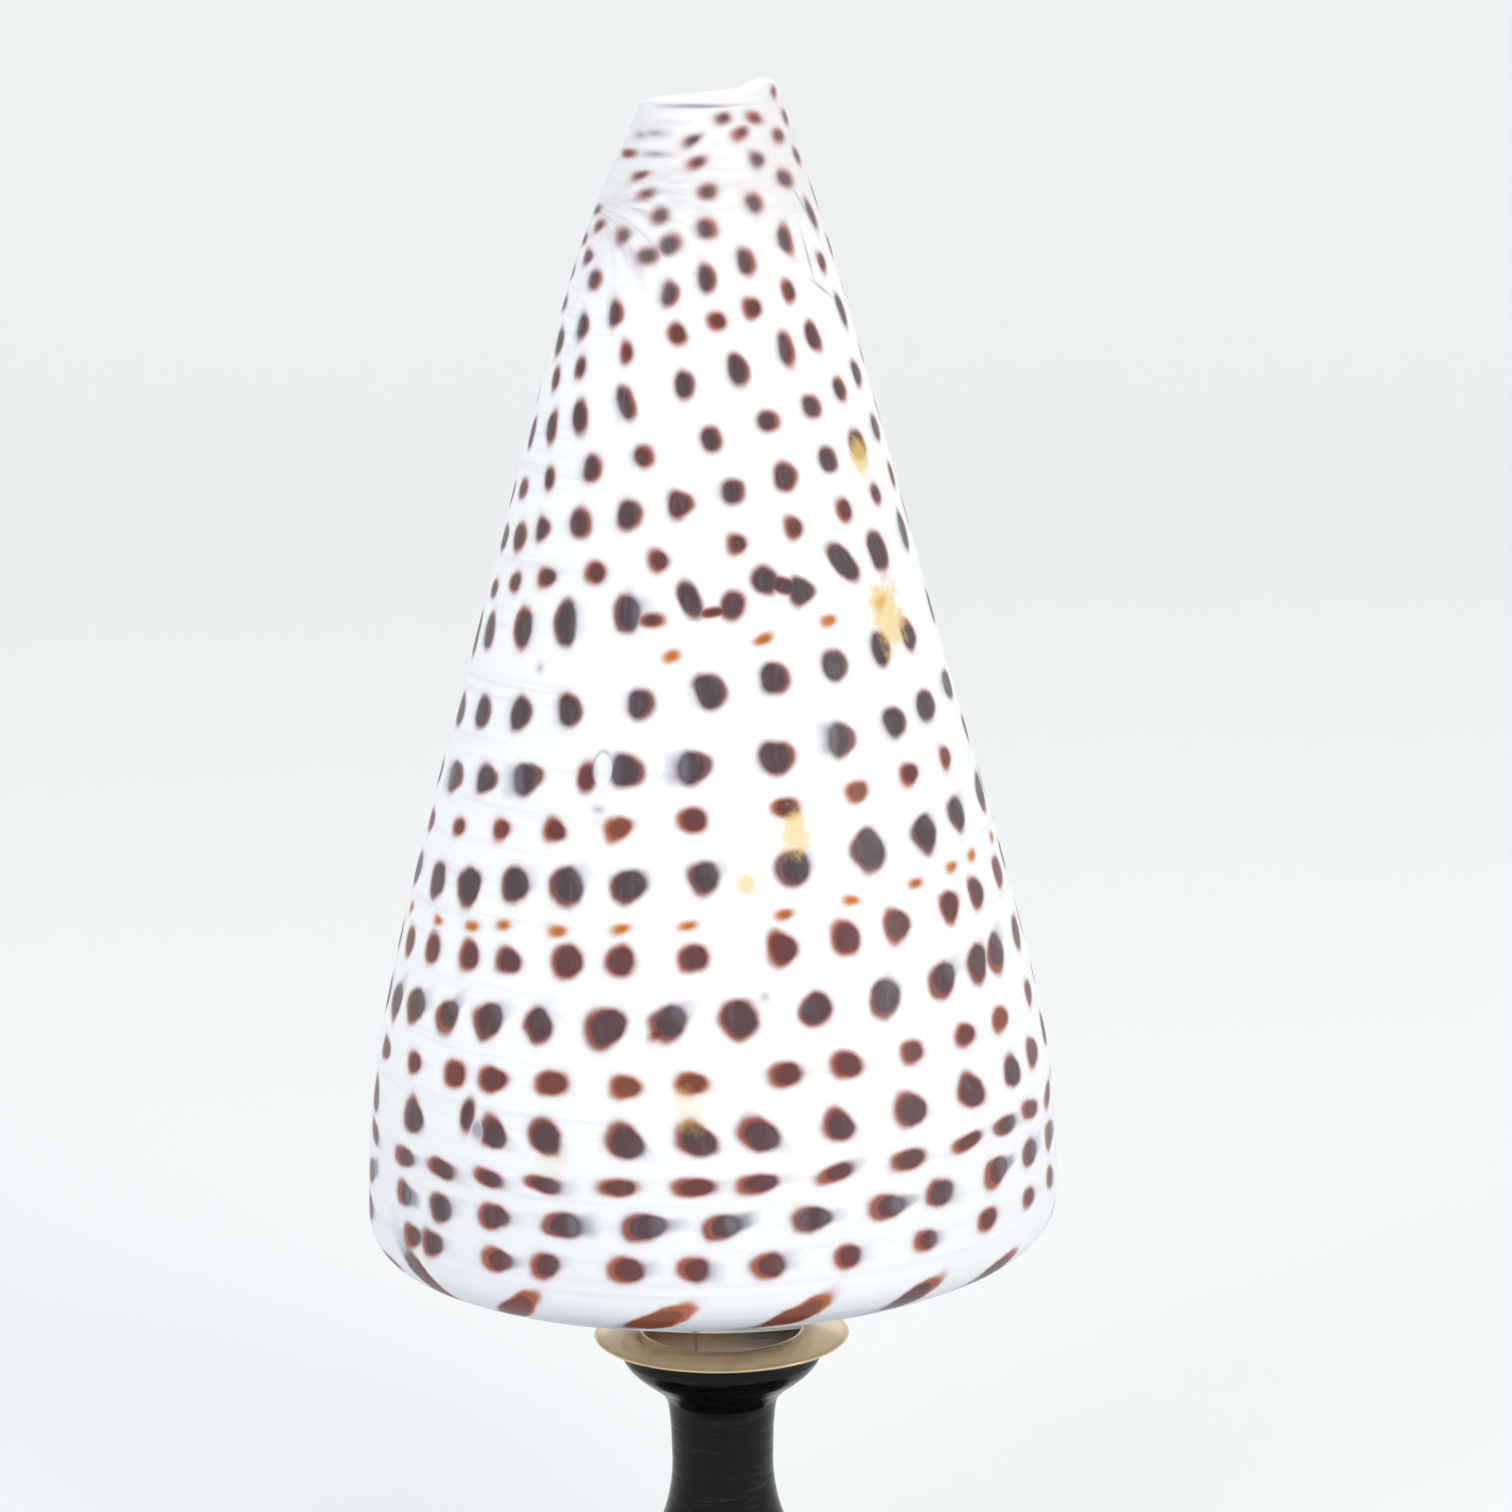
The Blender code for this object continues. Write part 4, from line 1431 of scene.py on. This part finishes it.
@dataclass(frozen=True)
class BrassFinish:
    """Polished brass with fine turning lines, a few tarnished patches, painted shade in rings by the lip and
    the outer edge, and painted reflections on the land.
    """

    colour: tuple = (1.0, 0.80, 0.50, 1.0)
    # Brown of the tarnished patches, also used for the painted shade rings
    tarnish_and_shade: tuple = (0.58, 0.36, 0.16, 1.0)
    # Dark of the reflections painted on the mirror-bright land
    land: tuple = (0.12, 0.09, 0.06, 1.0)
    land_r: float = 8.5 * MM
    land_blend: float = 0.3 * MM
    # Radii over which painted shade darkens the band: next to the lip, and at its outer edge
    painted_shade_inside: tuple = (10.4 * MM, 8.8 * MM)
    painted_shade_outside: tuple = (12.3 * MM, 13.0 * MM)
    painted_reflection_side: tuple = (-4.0 * MM, 6.0 * MM)
    groove: float = 0.01 * MM

    def build(self) -> bpy.types.Material:
        """Makes the material; dark stripes painted on the land stand for mirrored spots, stronger on its
        right.
        """
        g = NodeGraph("polished_brass")
        place = g.object_place()
        cloud = g.grain(place, 180.0, 4.0, 0.6)
        x, y, z = g.parts(place)
        radius = g.vector("LENGTH", g.joined(x, y, 0.0))
        rings = g.grain(g.joined(radius, z, 0.0), 6000.0)
        gold = g.mix(g.step(cloud, 0.45, 0.75, 0.0, 0.5), self.colour, self.tarnish_and_shade)
        # Painted shade: the band is darkened in a ring next to the lip and in one at its outer edge
        inside = g.step(radius, *self.painted_shade_inside, 0.0, 0.8)
        outside = g.step(radius, *self.painted_shade_outside, 0.0, 0.5)
        gold = g.mix(g.sum("MAXIMUM", inside, outside), gold, self.tarnish_and_shade)
        # Painted reflection: dark stripes on the land stand for the shell's spots mirrored in it, stronger to
        # the right
        stripes = g.step(g.grain(g.stretched(place, (160.0, 700.0, 0.0)), 1.0), 0.36, 0.48, 0.35, 1.0)
        land = g.step(radius, self.land_r, self.land_r - self.land_blend)
        dark = g.times(g.times(stripes, g.step(x, *self.painted_reflection_side, 0.25, 1.0)), land)
        g.surface(
            Base_Color=g.mix(dark, gold, self.land),
            Metallic=g.blend(land, 0.7, 1.0),
            Roughness=g.blend(land, g.step(cloud, 0.3, 0.8, 0.13, 0.22), 0.05),
            Normal=g.bump(rings, self.groove, 0.3),
        )
        return g.material


@dataclass(frozen=True)
class EbonisedFinish:
    """Black stained and glossed wood, with faint turning rings and dust."""

    colour: tuple = (0.003, 0.003, 0.004, 1.0)
    worn: tuple = (0.016, 0.015, 0.016, 1.0)
    groove: float = 0.25 * MM

    def build(self) -> bpy.types.Material:
        """Makes the material."""
        g = NodeGraph("ebonised_wood")
        place = g.object_place()
        grain = g.grain(g.stretched(place, (900.0, 900.0, 60.0)), 1.0, 4.0, 0.6)
        rings = g.grain(g.stretched(place, (0.0, 0.0, 1.0)), 1000.0, 3.0, 0.6)
        fleck = g.grain(g.stretched(place, (200.0, 200.0, 1800.0)), 1.0, 3.0, 0.6)
        g.surface(
            Base_Color=g.mix(g.step(fleck, 0.56, 0.68), self.colour, self.worn),
            Roughness=g.step(grain, 0.3, 0.8, 0.14, 0.30),
            Specular_IOR_Level=0.16,
            Normal=g.bump(rings, self.groove, 0.7),
        )
        return g.material


@dataclass
class Stand:
    """Brass collar and black pedestal, turned about the stand's axis."""

    foot_r: float = 31.0 * MM
    collar_r: float = 13.2 * MM
    land_r: float = 8.2 * MM
    lip_r: float = 8.7 * MM
    crown: float = 0.22 * MM
    fall: float = 0.62 * MM
    collar_thick: float = 1.1 * MM
    fit_gap: float = 0.3 * MM
    flange_r: float = 10.3 * MM
    cup_drop: float = 7.0 * MM
    cup_drops: tuple = (0.0, 0.10, 0.16, 0.30, 0.48, 0.64, 0.80, 1.0)
    cup_radii: tuple = tuple(MM * r for r in (10.3, 10.3, 10.25, 9.6, 8.2, 6.7, 5.8, 5.5))
    neck_r: float = 5.25 * MM
    neck_drop: float = 14.0 * MM
    cove_r: float = 26.5 * MM
    cove_z: float = 7.0 * MM
    edge: float = 0.4 * MM
    turned_steps: int = 160

    @property
    def land_z(self) -> float:
        """Level of the collar's flat land."""
        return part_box("brass_collar")[0][2] + self.collar_thick

    def collar_profile(self) -> np.ndarray:
        """Flat land, a small step, a band that rolls down outwards, and a tucked underside.

        Band height = crown - fall x share^1.8, share from the lip to the outer edge.

        Returns:
            Rows of radius and height, from the axis at the top down the outside.
        """
        z = self.land_z
        lip = arc((self.lip_r, z), self.lip_r - self.land_r, self.crown, 180.0, 95.0, 6)
        share = np.linspace(0.0, 1.0, 22)
        span = self.collar_r - 0.1 * MM - self.lip_r
        band = np.stack([self.lip_r + span * share, z + self.crown - self.fall * share**1.8], -1)
        low = z + self.crown - self.fall
        tuck = [[self.collar_r, low - 0.12 * MM], [self.collar_r - 0.2 * MM, low - 0.3 * MM]]
        rows = [[0.0, z], *lip, *band, *tuck]
        rows += [[self.flange_r + 0.5 * MM, z - self.collar_thick], [0.0, z - self.collar_thick]]
        return np.array(rows)

    def pedestal_profile(self) -> np.ndarray:
        """Flange, rounded cup, neck, hollow sweep and rounded foot.

        Returns:
            Rows of radius and height, from the axis at the top down the outside.
        """
        land = self.land_z
        top = land - self.collar_thick - self.fit_gap
        edge = self.edge
        neck_z = land - self.neck_drop
        rows = [[0.0, top], *arc((self.flange_r - edge, top - edge), edge, edge, 90.0, 0.0, 5)]
        drops = np.linspace(0.0, 1.0, 26)[1:]
        cup = smooth_curve(drops, self.cup_drops, self.cup_radii)
        rows += [*np.stack([cup, top - edge - drops * self.cup_drop], -1)]
        rows += [[self.neck_r + 0.1 * MM, neck_z + 3.4 * MM]]
        across, up = self.cove_r - self.neck_r, neck_z - self.cove_z
        rows += [*arc((self.cove_r, neck_z), across, up, 180.0, 266.0, 36)]
        ovolo = 3.2 * MM
        rows += [[self.cove_r + 0.5 * MM, self.cove_z], [self.foot_r - ovolo, self.cove_z - 0.6 * MM]]
        rows += [*arc((self.foot_r - ovolo, self.cove_z - 0.9 * MM - ovolo), ovolo, ovolo, 75.0, 0.0, 10)]
        rows += [[self.foot_r, 2.0 * edge], [self.foot_r - 2.0 * edge, 0.0], [0.0, 0.0]]
        return np.array(rows)

    def build(self) -> list[bpy.types.Object]:
        """Makes both pieces."""
        collar = turned_mesh("turned_brass_collar", self.collar_profile(), self.turned_steps)
        pedestal = turned_mesh("turned_black_pedestal", self.pedestal_profile(), self.turned_steps)
        return [
            piece("turned_brass_collar", collar, BrassFinish().build(), "brass_collar"),
            piece("turned_black_pedestal", pedestal, EbonisedFinish().build(), "black_pedestal"),
        ]


# Surroundings


@dataclass
class Studio:
    """Pale floor that sweeps up into a wall all round, and soft lights."""

    floor_r: float = 1.0
    wall_r: float = 1.6
    wall_top: float = 0.85
    middle: tuple = (0.0, 0.0, 0.11)
    paper: tuple = ((0.91, 0.92, 0.92, 1.0), (0.93, 0.935, 0.93, 1.0))
    sky: tuple = (0.965, 0.985, 1.0, 1.0)
    sky_strength: float = 0.91

    def build_floor(self) -> None:
        """The floor, its sweep and the wall, turned about the stand's axis."""
        sweep = self.wall_r - self.floor_r
        curve = arc((self.floor_r, sweep), sweep, sweep, -90.0, 0.0, 24)
        profile = np.concatenate([[[0.0, 0.0]], curve, [[self.wall_r, self.wall_top]]])[::-1]
        mesh = turned_mesh("studio_sweep", profile, 96, open_top=True)
        g = NodeGraph("pale_paper")
        cloud = g.grain(g.object_place(), 3.0, 3.0)
        g.surface(Base_Color=g.mix(cloud, *self.paper), Roughness=0.8)
        mesh.materials.append(g.material)
        floor = bpy.data.objects.new("studio_sweep", mesh)
        bpy.context.scene.collection.objects.link(floor)

    def lamp(self, name: str, place: tuple, size: float, power: float, colour: tuple, mirrored: bool) -> None:
        """A square soft light that looks at the middle of the object.

        Args:
            name: the light's name.
            place: where it hangs.
            size: its width and height.
            power: its power in watts.
            colour: its colour.
            mirrored: whether glossy surfaces show it.
        """
        data = bpy.data.lights.new(name, "AREA")
        data.shape = "SQUARE"
        data.size = size
        data.energy = power
        data.color = colour
        lamp = bpy.data.objects.new(name, data)
        lamp.visible_glossy = mirrored
        lamp.location = place
        lamp.rotation_mode = "QUATERNION"
        lamp.rotation_quaternion = (Vector(self.middle) - Vector(place)).to_track_quat("-Z", "Y")
        bpy.context.scene.collection.objects.link(lamp)

    def build(self) -> None:
        """Makes the floor, the world and the lights."""
        self.build_floor()
        world = bpy.data.worlds.new("soft_room")
        bpy.context.scene.world = world
        world.use_nodes = True
        background = world.node_tree.nodes["Background"]
        background.inputs["Color"].default_value = self.sky
        background.inputs["Strength"].default_value = self.sky_strength
        self.lamp("warm_light", (0.55, -0.75, 0.60), 0.30, 2.5, (1.0, 0.97, 0.90), False)
        self.lamp("cool_light", (-0.55, -0.70, 0.50), 0.30, 1.9, (0.80, 0.90, 1.0), False)
        self.lamp("window", (0.9, -0.35, 0.25), 0.25, 1.0, (1.0, 1.0, 1.0), True)
        bpy.context.scene.view_settings.view_transform = "Standard"
        bpy.context.scene.view_settings.look = "None"


def main() -> None:
    logging.basicConfig(level=logging.INFO, format="%(message)s")
    pieces = [ConeShell().build(), *Stand().build()]
    for made in pieces:
        log.info("%s: %d faces", made.name, len(made.data.polygons))
    Studio().build()
    PhotoCamera().build()


if __name__ == "__main__":
    main()
